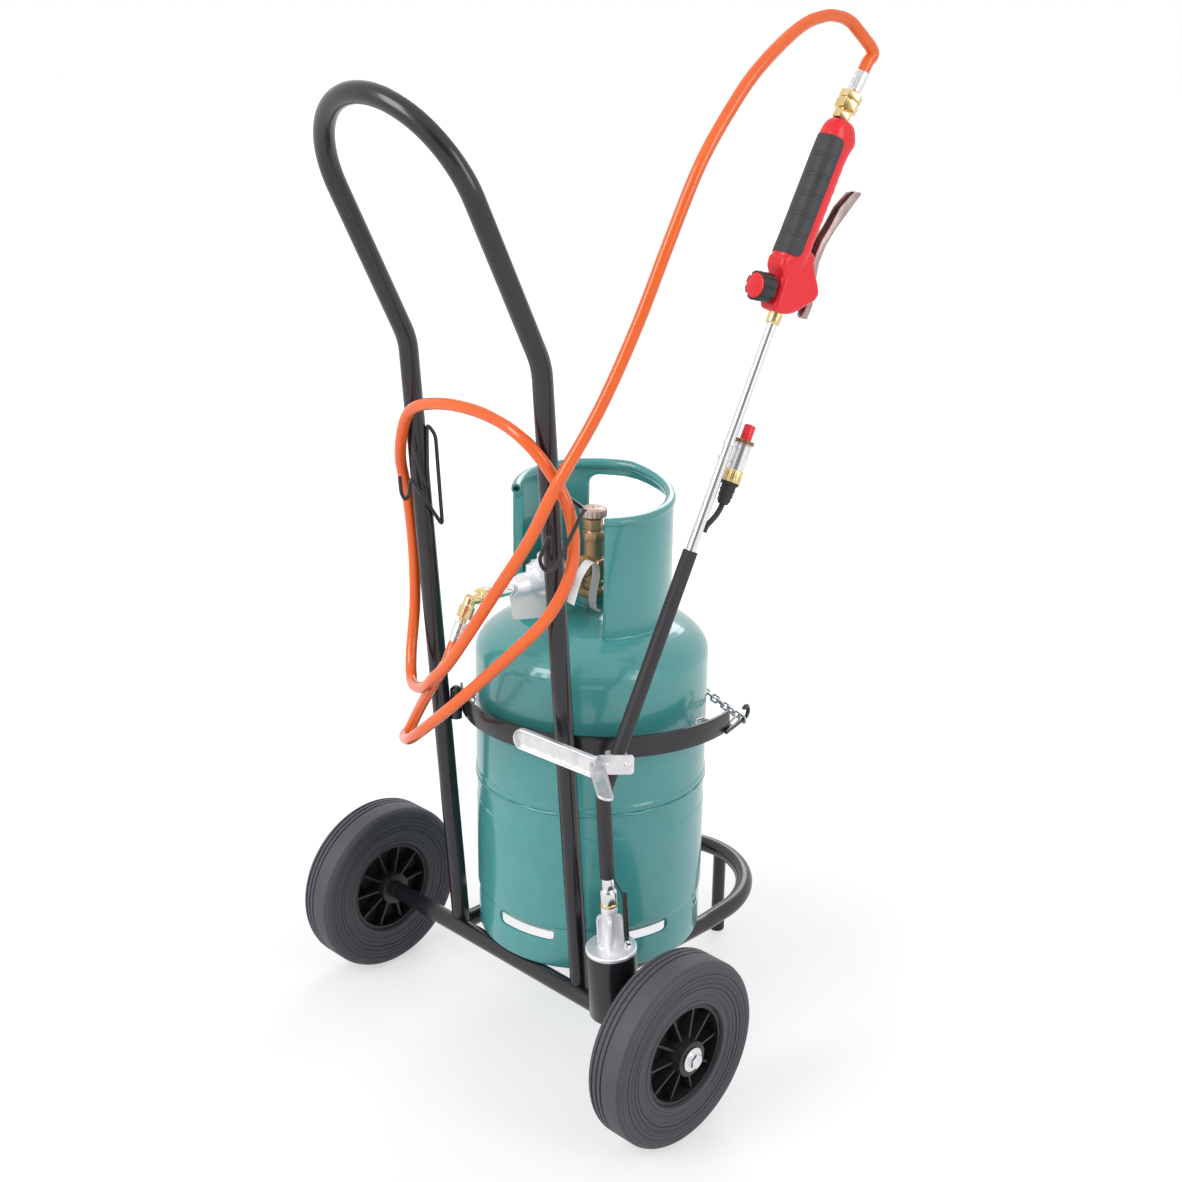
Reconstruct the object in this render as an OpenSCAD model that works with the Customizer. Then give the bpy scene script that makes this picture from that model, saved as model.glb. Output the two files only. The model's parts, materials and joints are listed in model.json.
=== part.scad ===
// Gas torch trolley: a bent-tube sack-truck frame on two solid wheels that carries one
// upright gas cylinder with its valve and regulator, and a long roofing torch that stands
// in a tubular holder. Millimetres, +Z up. The origin is on the ground, in the middle of
// the plan outline of the trolley. X runs across it, and +Y points away from the operator.

/* [Frame tube] */
// Outside diameter of the frame tube
tube_d = 25; // [22:0.5:30]
// Wall of the frame tube
tube_wall = 2; // [1.5:0.5:3]
// Distance between the uprights, centre to centre
upright_gap = 243; // [235:1:255]
// Lean of the uprights below the bend, in degrees
lower_lean = 4.8; // [4:0.2:6]
// Lean of the handle above the bend, in degrees
upper_lean = 27.4; // [22:0.2:32]
// Length of an upright from the level of the axle to the bend
lower_run = 852; // [820:1:880]
// Length of the handle from the bend to its arch
upper_run = 211; // [180:1:240]
// Radius of the bend in an upright
bend_r = 80; // [60:5:100]
// Distance of an upright's foot in front of the axle
foot_forward = 8.8; // [6:0.2:11]

/* [Base loop] */
// Distance from the axle to the middle of the loop's front tube
loop_front = 426; // [410:1:450]
// Distance from the axle to the bend where the loop starts to rise
loop_bend = 262; // [260:1:280]
// Angle by which the front of the loop rises, in degrees
loop_rise = 4.9; // [2:0.1:8]
// Distance of the front leg to the right of the middle
leg_side = 8; // [0:1:15]
// Outside diameter of the front leg
leg_d = 19.5; // [18:0.5:22]
// Wall of the front leg
leg_wall = 1.5; // [1:0.5:2]
// Outside diameter of the leg's rubber cap
leg_cap_d = 22.5; // [22:0.1:28]
// Height of the leg's rubber cap
leg_cap_h = 22; // [15:1:30]

/* [Wheels] */
// Diameter of a wheel
wheel_d = 250; // [240:1:260]
// Width of a tyre
tyre_w = 60; // [50:1:64]
// Distance between the outer faces of the tyres
track_out = 650.6; // [630:1:680]
// Diameter of the hole in a tyre, where the hub sits
rim_d = 135; // [125:1:145]
// Width of a hub's rim
rim_w = 46; // [40:1:50]
// Thickness of a hub's rim
rim_t = 5; // [4:0.5:7]
// Thickness of a hub's web
web_t = 5; // [4:0.5:7]
// Diameter of a hub's boss
boss_d = 46; // [40:1:50]
// Distance that a hub's boss stands out past the tyre
boss_out = 4.4; // [2:0.2:8]
// Distance that a hub's boss reaches in past the tyre
boss_in = 2.7; // [1:0.1:5]
// Number of ribs on each side of a hub
hub_ribs = 10; // [8:1:12]
// Thickness of a hub rib
rib_t = 3; // [2:0.5:4]
// Diameter of the axle rod
axle_d = 20; // [18:0.5:20.5]
// Diameter of the washer at the end of the axle
washer_d = 28; // [24:1:34]
// Thickness of that washer
washer_t = 2.5; // [1.5:0.5:3]
// Thread diameter of the axle bolt
bolt_d = 10; // [8:1:12]
// Width of the axle bolt's hexagon across its flats
bolt_flats = 17; // [15:1:19]
// Height of the axle bolt's head
bolt_head_h = 6.4; // [5:0.2:8]
// Length of the axle bolt's thread
bolt_l = 30; // [20:1:40]

/* [Cylinder] */
// Diameter of the gas cylinder
cyl_d = 316.6; // [300:0.2:320]
// Distance from the axle to the cylinder's centre line
cyl_forward = 145.5; // [140:0.5:160]
// Thickness of the cylinder's wall
cyl_wall = 3; // [2.5:0.5:4]
// Height of the foot ring below the shell
skirt_h = 67; // [60:1:75]
// Diameter of the foot ring
skirt_d = 313; // [296:0.5:316]
// Thickness of the foot ring
skirt_t = 3; // [2:0.5:4]
// Length of the straight part of the shell
shell_h = 342; // [320:1:360]
// Depth of the shell's lower dome
low_dome_h = 50; // [40:1:56]
// Height of the shell's upper dome
top_dome_h = 64; // [56:1:80]
// Diameter of the guard collar
collar_d = 212.4; // [200:0.2:220]
// Thickness of the guard collar
collar_t = 3; // [2:0.5:4]
// Height of the collar's top above the straight part of the shell
collar_h = 238; // [225:1:250]
// Diameter of the rolled rim of the collar
collar_roll_d = 14; // [10:1:18]
// Angle of the opening in the collar
collar_gap = 95; // [80:1:105]
// Direction of the middle of that opening, from +X
collar_turn = -84.3; // [-95:0.1:-75]
// Number of slots in the foot ring
skirt_slots = 6; // [5:1:7]

/* [Valve and regulator] */
// Diameter of the valve's welded boss
bung_d = 42; // [38:1:48]
// Diameter of the valve body
valve_d = 25; // [22:1:28]
// Height of the valve's handwheel above the top of the shell
handwheel_rise = 131; // [126:1:136]
// Diameter of the valve's handwheel
handwheel_d = 37; // [34:1:44]
// Thickness of the handwheel
handwheel_t = 10; // [8:1:12]
// Height of the valve's outlet above the top of the shell
outlet_rise = 53; // [48:1:58]
// Width of the regulator nut across its flats
reg_nut_flats = 26; // [24:1:30]
// Diameter of the regulator's body
reg_body_d = 30; // [26:1:34]
// Diameter of the regulator's bonnet
bonnet_d = 46; // [40:1:50]

/* [Band and chain] */
// Radius of the inside of the band
band_r = 192; // [185:1:198]
// Thickness of the band
band_t = 4; // [3:0.5:5]
// Height of the band's flat bar
band_h = 29; // [24:1:34]
// Height of the band's lower edge above the ground
band_z = 462; // [440:1:480]
// Diameter of the rods that hold the band off the uprights
lug_d = 16; // [14:1:18]
// Length of those rods
lug_h = 46; // [40:1:54]
// Wire diameter of the chain
link_wire = 3; // [2.6:0.1:3.2]
// Inside length of a chain link
link_in = 16; // [15:0.5:18]
// Inside width of a chain link
link_gap = 6; // [5:0.2:7]

/* [Torch] */
// Distance of the torch holder from the middle of the axle
holder_x = 195; // [185:0.5:205]
// Diameter of the torch holder
holder_d = 65; // [62:0.5:70]
// Wall of the torch holder
holder_wall = 2.5; // [2:0.5:3]
// Distance from the axle to the torch holder's rim
holder_run = 101.5; // [90:0.5:110]
// Diameter of the burner's bell
bell_d = 57; // [50:0.5:58]
// Length of the burner's bell
bell_h = 78; // [60:1:84]
// Diameter of the burner head's plate
plate_d = 66; // [65.5:0.5:70]
// Thickness of the burner head's plate
plate_t = 5; // [4:0.5:6]
// Direction in which the lance leans, from +Y towards +X
torch_turn = 8.2; // [6:0.2:12]
// Angle of the bend in the lance
lance_bend = 28; // [25:0.5:32]
// Distance from the axle to that bend
bend_run = 326.6; // [316:0.2:340]
// Length of the lance from its bend to the handle
lance_run = 606; // [590:1:620]
// Diameter of the lance tube
lance_d = 13; // [12:0.2:14]
// Diameter of the lance's rubber sleeve
sleeve_d = 18.6; // [17:0.2:20]
// Length of that sleeve above the bend
sleeve_run = 317; // [300:1:330]
// Length of the torch handle
handle_h = 237; // [232:1:246]
// Depth of the grip, from palm to fingers
grip_depth = 43; // [40:0.5:46]
// Width of the grip
grip_width = 39; // [36:0.5:42]
// Distance that the grip's lower end is set back from the lance
grip_back = 10; // [8:0.5:13]
// Lean of the grip from the lance, in degrees
grip_lean = 2; // [0:0.5:4]

/* [Hose] */
// Outside diameter of the gas hose
hose_d = 15; // [13:0.5:15]
// Wire diameter of a hose hook
hook_wire = 5; // [4:0.5:6]

/* [Fits] */
// Running gap round a turning part
run_gap = 0.05; // [0.03:0.01:0.1]
// Gap between faces that move past each other
face_gap = 0.3; // [0.2:0.05:0.5]
// Gap between curved faces that lie against each other
seat_gap = 0.2; // [0.1:0.05:0.3]

/* [Hidden] */
$fn = 48;

// Colours
c_frame = "#1b1a1d";
c_teal = "#2e8b84";
c_rubber = "#3a393d";
c_plastic = "#18181a";
c_steel = "#b9bbbd";
c_brass = "#b98d45";
c_alloy = "#c9c8c6";
c_red = "#e0232e";
c_hose = "#f0641f";
c_white = "#f2f1ee";

// Small amounts by which a cutter passes the face that it cuts
cut = 1;
// A bent tube is this much thicker in its bends, and its straights reach this far into them
bend_swell = 0.1;
bend_lap = 1;

// Frame
axle_z = wheel_d / 2;
tube_r = tube_d / 2;
upright_x = upright_gap / 2;
fold = upper_lean - lower_lean;
fold_cut = bend_r * tan(fold / 2);
arch_r = upright_x;
kink_y = foot_forward - lower_run * sin(lower_lean);
kink_z = axle_z + lower_run * cos(lower_lean);
arch_y = kink_y - (upper_run + arch_r) * sin(upper_lean);
function upright_y(z) = foot_forward - (z - axle_z) * tan(lower_lean);
// The origin lies midway between the back of the arch and the front of the base loop
front_y = loop_bend + (loop_front - loop_bend) * cos(loop_rise);
axle_y = -(front_y + arch_y) / 2;
loop_r = upright_x;

// Wheels
wheel_x = track_out / 2 - tyre_w / 2;
hub_out_x = track_out / 2 + boss_out;
hub_in_x = track_out / 2 - tyre_w - boss_in;
rim_r = rim_d / 2;
axle_end_x = hub_out_x + face_gap;

// Cylinder
cyl_r = cyl_d / 2;
cyl_base = axle_z + tube_r + seat_gap;
shell_z = cyl_base + skirt_h;
shoulder_z = shell_z + shell_h;
dome_top = shoulder_z + top_dome_h;
collar_r = collar_d / 2;
collar_top = shoulder_z + collar_h;
function dome_z(r) = shoulder_z + top_dome_h * sqrt(1 - pow(r / cyl_r, 2));
outlet_z = dome_top + outlet_rise;
handwheel_top = dome_top + handwheel_rise;

// Band: the rods touch the uprights, and the band touches the rods
lug_r = lug_d / 2;
lug_x = upright_x - 15.5;
lug_z = band_z + band_h / 2 - lug_h / 2;
lug_y = upright_y(band_z + band_h / 2) + sqrt(pow(tube_r + lug_r, 2) - pow(upright_x - lug_x, 2));
band_out = band_r + band_t;
band_y = lug_y + sqrt(pow(band_out + lug_r, 2) - pow(lug_x, 2));
band_left = 229;
band_right = 374.5;

// Torch: its lengths run from the axle, along the holder's axis
bend_lean_r = 60;
lean_cut = bend_lean_r * tan(lance_bend / 2);
plate_z = holder_run + face_gap;
head_rise = 61;
head_top = plate_z + plate_t + head_rise;
ring_h = 4;
nut_h = 20;
ferrule_h = 17;
sleeve_z = head_top + ring_h + nut_h + ferrule_h;
// A point on the lance, at a distance above its bend, seen from the axle on the ground
function lance_point(run) = let (up = bend_run + run * cos(lance_bend),
    out = run * sin(lance_bend), y = out * cos(torch_turn))
    [holder_x + out * sin(torch_turn), y * cos(lower_lean) - up * sin(lower_lean),
     axle_z + y * sin(lower_lean) + up * cos(lower_lean)];

// ---------- helpers ----------

// Everything is laid out from the axle, on the ground below its middle
module at_axle() { translate([0, axle_y, 0]) children(); }

module both_sides() {
    children();
    mirror([1, 0, 0]) children();
}

// A bar along X from x = a to x = b
module bar_x(a, b, d) { translate([a, 0, 0]) rotate([0, 90, 0]) cylinder(h = b - a, d = d); }

module hex_prism(flats, h) { cylinder(h = h, r = flats / 2 / cos(30), $fn = 6); }

function arc_points(cx, cy, r, a0, a1, n) =
    [for (i = [0 : n]) let (a = a0 + (a1 - a0) * i / n) [cx + r * cos(a), cy + r * sin(a)]];

// Points of a quarter ellipse with half axes rx and ry
function ellipse_points(rx, ry, a0, a1, n) =
    [for (i = [0 : n]) let (a = a0 + (a1 - a0) * i / n) [rx * cos(a), ry * sin(a)]];

function shift(points, dx, dy) = [for (p = points) [p.x + dx, p.y + dy]];
function turned(points) = [for (i = [len(points) - 1 : -1 : 0]) points[i]];

// A smooth curve through a list of points, with k steps from each to the next
function smooth(p, k) = let (n = len(p)) [
    for (i = [0 : n - 2]) for (j = [0 : k - 1]) let (
        a = i > 0 ? p[i - 1] : 2 * p[0] - p[1], b = p[i], c = p[i + 1],
        d = i < n - 2 ? p[i + 2] : 2 * p[n - 1] - p[n - 2], t = j / k)
    (2 * b + (c - a) * t + (2 * a - 5 * b + 4 * c - d) * t * t
        + (3 * b - 3 * c + d - a) * t * t * t) / 2,
    p[n - 1]];

function unit(v) = v / norm(v);
function heading(p, i) = unit(p[min(i + 1, len(p) - 1)] - p[max(i - 1, 0)]);

// A frame carried along the curve without twisting
function next_side(s, t) = unit(s - t * (s * t));
function sides(p, s, i = 0) = i >= len(p) ? [] :
    let (n = next_side(s, heading(p, i))) concat([n], sides(p, n, i + 1));

// A round tube along the points p, from number a to number b
module swept(p, d, n, a, b) {
    frames = sides(p, [1, 0.1, 0]);
    rings = [for (i = [a : b]) let (t = heading(p, i), s = frames[i], u = cross(t, s))
        for (j = [0 : n - 1]) p[i] + d / 2 * (cos(360 * j / n) * s + sin(360 * j / n) * u)];
    count = b - a;
    faces = concat(
        [for (i = [0 : count - 1]) for (j = [0 : n - 1]) let (k = (j + 1) % n)
            [i * n + j, (i + 1) * n + j, i * n + k]],
        [for (i = [0 : count - 1]) for (j = [0 : n - 1]) let (k = (j + 1) % n)
            [i * n + k, (i + 1) * n + j, (i + 1) * n + k]],
        [[for (j = [0 : n - 1]) j]],
        [[for (j = [n - 1 : -1 : 0]) count * n + j]]);
    polyhedron(points = rings, faces = faces, convexity = 10);
}

// A rod bent along straight lines, with a slightly thicker ball at each bend
module wire_path(p, d) {
    for (i = [0 : len(p) - 2]) let (v = p[i + 1] - p[i]) translate(p[i])
        rotate([0, acos(v.z / norm(v)), atan2(v.y, v.x)]) cylinder(h = norm(v), d = d, $fn = 24);
    for (i = [1 : len(p) - 2]) translate(p[i]) sphere(d = d + 4 * bend_swell, $fn = 24);
}

// ---------- frame ----------

// A bent length of tube, round Z from the X axis
module tube_bend(r, angle, d) {
    rotate_extrude(angle = angle) translate([r, 0]) circle(d = d + bend_swell);
}

// One upright and its half of the handle, up to the arch
module upright_run(d) {
    translate([upright_x, foot_forward, axle_z]) rotate([lower_lean, 0, 0]) {
        cylinder(h = lower_run - fold_cut + bend_lap, d = d);
        translate([0, -bend_r, lower_run - fold_cut]) {
            rotate([90, 0, 90]) tube_bend(bend_r, fold, d);
            rotate([fold, 0, 0]) translate([0, bend_r, -bend_lap])
                cylinder(h = upper_run - fold_cut + 2 * bend_lap, d = d);
        }
    }
}

module handle_path(d) {
    both_sides() upright_run(d);
    translate([0, kink_y - upper_run * sin(upper_lean), kink_z + upper_run * cos(upper_lean)])
        rotate([90 + upper_lean, 0, 0]) tube_bend(arch_r, 180, d);
}

// Two straight sides, a slight bend upwards, and the round front
module loop_path(d) {
    rise_cut = bend_r * tan(loop_rise / 2);
    both_sides() translate([loop_r, 0, axle_z]) rotate([-90, 0, 0])
        cylinder(h = loop_bend - rise_cut + bend_lap, d = d);
    both_sides() translate([loop_r, loop_bend - rise_cut, axle_z + bend_r])
        rotate([0, 90, 0]) tube_bend(bend_r, loop_rise, d);
    translate([0, loop_bend, axle_z]) rotate([loop_rise, 0, 0]) {
        both_sides() translate([loop_r, rise_cut - bend_lap, 0]) rotate([-90, 0, 0])
            cylinder(h = loop_front - loop_bend - loop_r - rise_cut + 2 * bend_lap, d = d);
        translate([0, loop_front - loop_bend - loop_r, 0]) tube_bend(loop_r, 180, d);
    }
}

module handle_frame() {
    color(c_frame) at_axle() difference() {
        handle_path(tube_d);
        handle_path(tube_d - 2 * tube_wall);
        translate([0, 0, axle_z]) bar_x(-upright_gap, upright_gap, tube_d);
        loop_path(tube_d);
    }
}

module axle_tube() {
    color(c_frame) at_axle() translate([0, 0, axle_z]) difference() {
        bar_x(-hub_in_x + face_gap, hub_in_x - face_gap, tube_d);
        bar_x(-hub_in_x - cut, hub_in_x + cut, tube_d - 2 * tube_wall);
    }
}

// The rod is welded into the tube, and each end of it carries a wheel
module axle_rod() {
    color(c_steel) at_axle() translate([0, 0, axle_z]) difference() {
        bar_x(-axle_end_x, axle_end_x, axle_d);
        both_sides() bar_x(axle_end_x - bolt_l - cut, axle_end_x + cut, bolt_d + 2 * run_gap);
    }
}

module base_loop() {
    color(c_frame) at_axle() difference() {
        loop_path(tube_d);
        loop_path(tube_d - 2 * tube_wall);
        translate([0, 0, axle_z]) bar_x(-upright_gap, upright_gap, tube_d);
    }
}

module front_leg() {
    color(c_frame) at_axle() difference() {
        translate([leg_side, front_y, leg_cap_h / 4]) cylinder(h = axle_z, d = leg_d);
        translate([leg_side, front_y, 0]) cylinder(h = 2 * axle_z, d = leg_d - 2 * leg_wall);
        loop_path(tube_d);
        loop_path(tube_d - 2 * tube_wall);
        translate([0, loop_bend, axle_z]) rotate([loop_rise, 0, 0]) cube([tube_d * 2, 2 * loop_front, 200]);
    }
}

module leg_cap() {
    color(c_plastic) at_axle() translate([leg_side, front_y, 0]) difference() {
        rotate_extrude() polygon(concat([[0, 0]],
            arc_points(leg_cap_d / 2 - 3, 3, 3, -90, 0, 6),
            [[leg_cap_d / 2, leg_cap_h], [0, leg_cap_h]]));
        translate([0, 0, leg_cap_h / 4]) cylinder(h = leg_cap_h, d = leg_d + 2 * run_gap);
    }
}

// ---------- band, chain and hooks ----------

module band_ring(r_in, r_out) {
    translate([0, band_y, band_z]) rotate([0, 0, band_left])
        rotate_extrude(angle = band_right - band_left, $fn = 96) translate([r_in, 0])
            square([r_out - r_in, band_h]);
}

module cylinder_band() { color(c_frame) at_axle() band_ring(band_r, band_out); }

module band_lugs() {
    color(c_frame) at_axle() difference() {
        both_sides() translate([lug_x, lug_y, lug_z]) {
            cylinder(h = lug_h - lug_r / 2, d = lug_d);
            translate([0, 0, lug_h - lug_r / 2]) cylinder(h = lug_r / 2, d1 = lug_d, d2 = lug_r);
        }
        handle_path(tube_d);
        translate([0, band_y, band_z]) cylinder(h = band_h, r = band_out, $fn = 96);
    }
}

// A bent rod welded along the end of the band, with an open curl for the chain
module band_hook() {
    color(c_frame) at_axle() translate([0, band_y, band_z + hook_d / 2]) rotate([0, 0, band_right])
        translate([band_out + hook_d / 2, -hook_weld, 0]) {
            rotate([-90, 0, 0]) cylinder(h = hook_rod, d = hook_d, $fn = 24);
            translate([0, hook_rod, curl_r]) rotate([90, 0, 90]) rotate([0, 0, -90])
                rotate_extrude(angle = 225, $fn = 48) translate([curl_r, 0])
                    circle(d = hook_d, $fn = 24);
        }
}

hook_d = 5.5;
band_end = [cos(band_right), sin(band_right)];
band_tangent = [-sin(band_right), cos(band_right)];
link_pitch = link_in - 0.6;
chain_r = cyl_r + link_gap / 2 + link_wire + 1;
chain_z = band_z + 1;
hook_rod = 58;
hook_weld = 16;
curl_r = 8.5;
// Point on the hook's rod that the chain's end link hangs on
catch_run = hook_rod - hook_weld - 6;
catch_at = [0, band_y] + (band_out + hook_d / 2) * band_end + catch_run * band_tangent;
catch_z = band_z + hook_d / 2;
catch_off = catch_at - [0, cyl_forward];
chain_off = atan2(catch_off.y, catch_off.x) + acos(chain_r / norm(catch_off));
leave_at = [chain_r * cos(chain_off), cyl_forward + chain_r * sin(chain_off)];
chain_pull = unit(leave_at - catch_at);
catch_slack = 1.6;
chain_start = catch_at + ((link_in - hook_d) / 2 - catch_slack - link_pitch / 2) * chain_pull;

// The chain's path: from the hook straight to the cylinder, and round the front of it
chain_path = concat([[chain_start.x, chain_start.y, catch_z]],
    [for (a = [chain_off : 4 : 226]) [chain_r * cos(a), cyl_forward + chain_r * sin(a), chain_z]]);
// Its loose end hangs inside the band
tail_path = [[174, 252, 464], [171, 238, 454], [169, 216, 450], [168, 200, 462], [168, 188, 478],
             [168, 172, 476]];
function path_steps(p) = [for (i = [0 : len(p) - 2]) norm(p[i + 1] - p[i])];
function run_to(steps, i) = i < 1 ? 0 : steps[i - 1] + run_to(steps, i - 1);
function step_at(steps, s, i = 0) =
    i >= len(steps) - 1 || run_to(steps, i + 1) > s ? i : step_at(steps, s, i + 1);
function path_point(p, steps, s) = let (i = step_at(steps, s))
    p[i] + (s - run_to(steps, i)) / steps[i] * (p[i + 1] - p[i]);

// One oval link, lying along X
module link() {
    bow = (link_in - link_gap) / 2;
    arm = link_gap / 2 + link_wire / 2;
    for (side = [-1, 1]) {
        translate([-bow, side * arm, 0]) rotate([0, 90, 0])
            cylinder(h = 2 * bow, d = link_wire, $fn = 14);
        translate([side * bow, 0, 0]) rotate([0, 0, side * 90 - 180])
            rotate_extrude(angle = 180, $fn = 20) translate([arm, 0])
                circle(d = link_wire, $fn = 14);
    }
}

// Each link lies between two points of the path, a quarter turn from the last
module links(p) {
    steps = path_steps(p);
    count = floor(run_to(steps, len(steps)) / link_pitch);
    for (i = [0 : count - 1])
        let (a = path_point(p, steps, i * link_pitch), b = path_point(p, steps, (i + 1) * link_pitch),
             v = b - a)
            translate((a + b) / 2)
                rotate([0, -atan2(v.z, norm([v.x, v.y])), atan2(v.y, v.x)])
                    rotate([i * 90 + 90 - min(i, 5) * 9, 0, 0]) link();
}

module chain() {
    color(c_steel) at_axle() {
        links(chain_path);
        links(tail_path);
    }
}

hook_left_points = [[-103, -74, 846], [-107, -48, 781], [-109, -45, 866], [-107, -33, 850],
                    [-105, -26, 729], [-108, -74, 801], [-106, -78, 780], [-105, -86, 774],
                    [-105, -92, 784], [-106, -93, 806]];
hook_right_points = [[128, -42, 823], [146, -40, 818], [168, -40, 811], [178, -46, 812], [180, -52, 812],
                     [156, -71, 744], [149, -71, 736], [140, -70, 734], [131, -70, 736], [126, -70, 746],
                     [142, -70, 777]];

module hose_hook_left() {
    color(c_frame) at_axle() {
        difference() {
            wire_path(hook_left_points, hook_wire);
            handle_path(tube_d);
        }
    }
}

module hose_hook_right() {
    color(c_frame) at_axle() {
        difference() {
            wire_path(hook_right_points, hook_wire);
            handle_path(tube_d);
        }
    }
}

// A short tube with a floor, let into the top of the axle tube and welded on. It leans
// like the uprights
module torch_holder() {
    floor_run = tube_r + 1;
    bore = holder_d - 2 * holder_wall;
    color(c_frame) difference() {
        at_holder() translate([0, 0, tube_r / 2]) difference() {
            cylinder(h = holder_run - tube_r / 2, d = holder_d);
            translate([0, 0, floor_run + holder_wall]) cylinder(h = holder_run, d = bore);
            translate([0, 0, -tube_r]) cylinder(h = tube_r / 2 + floor_run, d = bore);
        }
        at_axle() translate([0, 0, axle_z]) bar_x(0, hub_in_x, tube_d);
    }
}

// ---------- wheels ----------

// Half section of a tyre, as radius and distance from its middle
function tyre_side(half) = concat(
    [[rim_r, half - 9], [rim_r + 6, half - 9], [rim_r + 8, half - 3], [rim_r + 16, half - 2],
     [rim_r + 18, half - 0.8], [rim_r + 26, half - 0.8], [rim_r + 28, half], [rim_r + 36, half]],
    arc_points(axle_z - 12, half - 11, 11, 90, 10, 6));

tread_grooves = [20, 7, -7, -20];
groove_w = 3;
groove_deep = 2;

module tyre() {
    half = tyre_w / 2;
    side = tyre_side(half);
    mirrored_side = turned([for (p = side) [p.x, -p.y]]);
    tread = [for (g = tread_grooves) each [
        [axle_z - 0.2, g + groove_w / 2], [axle_z - groove_deep, g + groove_w / 2 - 0.5],
        [axle_z - groove_deep, g - groove_w / 2 + 0.5], [axle_z - 0.2, g - groove_w / 2]]];
    rotate([0, 90, 0]) rotate_extrude($fn = 96) polygon(concat(side, tread, mirrored_side));
}

// A moulded hub: rim, web and boss, with thin ribs on both sides of the web
module hub() {
    color(c_plastic) difference() {
        union() {
            rotate([0, 90, 0]) rotate_extrude($fn = 96) {
                translate([rim_r - rim_t, -rim_w / 2]) square([rim_t, rim_w]);
                translate([boss_d / 2 - 2, -web_t / 2]) square([rim_r - boss_d / 2, web_t]);
            }
            bar_x(-tyre_w / 2 - boss_in, tyre_w / 2 + boss_out, boss_d);
            for (i = [0 : hub_ribs - 1]) rotate([360 * (i + 0.5) / hub_ribs, 0, 0])
                translate([0, rib_t / 2, 0]) rotate([90, 0, 0]) linear_extrude(rib_t)
                    polygon([[-rim_w / 2 + 5, rim_r - 2], [-rim_w / 2, boss_d / 2 - 2],
                             [rim_w / 2, boss_d / 2 - 2], [rim_w / 2 - 5, rim_r - 2]]);
        }
        bar_x(-tyre_w, tyre_w, axle_d + 2 * run_gap);
    }
}

module wheel_place() { at_axle() translate([wheel_x, 0, axle_z]) children(); }

module tyre_right() { color(c_rubber) wheel_place() tyre(); }
module hub_right() { color(c_plastic) wheel_place() hub(); }
module tyre_left() { color(c_rubber) mirror([1, 0, 0]) wheel_place() tyre(); }
module hub_left() { color(c_plastic) mirror([1, 0, 0]) wheel_place() hub(); }

module axle_washers() {
    color(c_steel) at_axle() translate([0, 0, axle_z]) both_sides() difference() {
        bar_x(axle_end_x, axle_end_x + washer_t, washer_d);
        bar_x(axle_end_x - cut, axle_end_x + washer_t + cut, bolt_d + 1);
    }
}

module axle_bolts() {
    head_x = axle_end_x + washer_t;
    color(c_steel) at_axle() translate([0, 0, axle_z]) both_sides() {
        bar_x(head_x - bolt_l, head_x + cut, bolt_d);
        translate([head_x, 0, 0]) rotate([0, 90, 0]) intersection() {
            hex_prism(bolt_flats, bolt_head_h);
            cylinder(h = bolt_head_h, r1 = bolt_flats / 2 / cos(30) + 5, r2 = bolt_flats / 2 + 0.4);
        }
    }
}

// ---------- gas cylinder ----------

module at_cylinder() { at_axle() translate([0, cyl_forward, 0]) children(); }

// Outside of the shell from its lowest point to the top: two domes, and a straight part
// that is joined in its middle with a joggled seam
function shell_outline(r, low_h, top_h) = concat(
    shift(ellipse_points(r, low_h, -90, 0, 16), 0, shell_z),
    [[r, shell_z + 128], [r - 0.8, shell_z + 131], [r - 0.8, shell_z + 165],
     [r + 1.2, shell_z + 168], [r + 1.2, shell_z + 174], [r, shell_z + 177]],
    shift(ellipse_points(r, top_h, 0, 90, 20), 0, shoulder_z));

module shell_solid() {
    rotate_extrude($fn = 128) polygon(concat(shell_outline(cyl_r, low_dome_h, top_dome_h), [[0, shell_z]]));
}

module cylinder_shell() {
    color(c_teal) at_cylinder() difference() {
        shell_solid();
        rotate_extrude($fn = 128) polygon(concat(
            shift(ellipse_points(cyl_r - cyl_wall, low_dome_h - cyl_wall, -90, 0, 12), 0, shell_z),
            shift(ellipse_points(cyl_r - cyl_wall, top_dome_h - cyl_wall, 0, 90, 12), 0, shoulder_z)));
        translate([0, 0, shoulder_z]) cylinder(h = top_dome_h + cut, d = bung_d);
    }
}

module skirt_slot(w, h) {
    translate([skirt_d / 2 - 3 * skirt_t, 0, 0]) rotate([0, 90, 0]) {
        translate([-h / 2, -w / 2 + h / 2, 0]) cube([h, w - h, 6 * skirt_t]);
        for (side = [-1, 1]) translate([0, side * (w - h) / 2, 0]) cylinder(h = 6 * skirt_t, d = h);
    }
}

slot_w = 92;
slot_h = 21;

module foot_ring() {
    color(c_teal) at_cylinder() difference() {
        translate([0, 0, cyl_base]) rotate_extrude($fn = 128) union() {
            translate([skirt_d / 2 - skirt_t, 4]) square([skirt_t, skirt_h - 4]);
            translate([skirt_d / 2 - 4, 4]) circle(r = 4, $fn = 24);
        }
        for (i = [0 : skirt_slots - 1]) rotate([0, 0, -79 + 360 * i / skirt_slots])
            translate([0, 0, shell_z - 16]) skirt_slot(slot_w, slot_h);
        shell_solid();
    }
}

collar_span = 360 - collar_gap;
collar_start = collar_turn + collar_gap / 2;
window_mid = 96;
window_span = 84;
collar_fold = 12;
window_low = 96;
window_high = 24;

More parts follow.
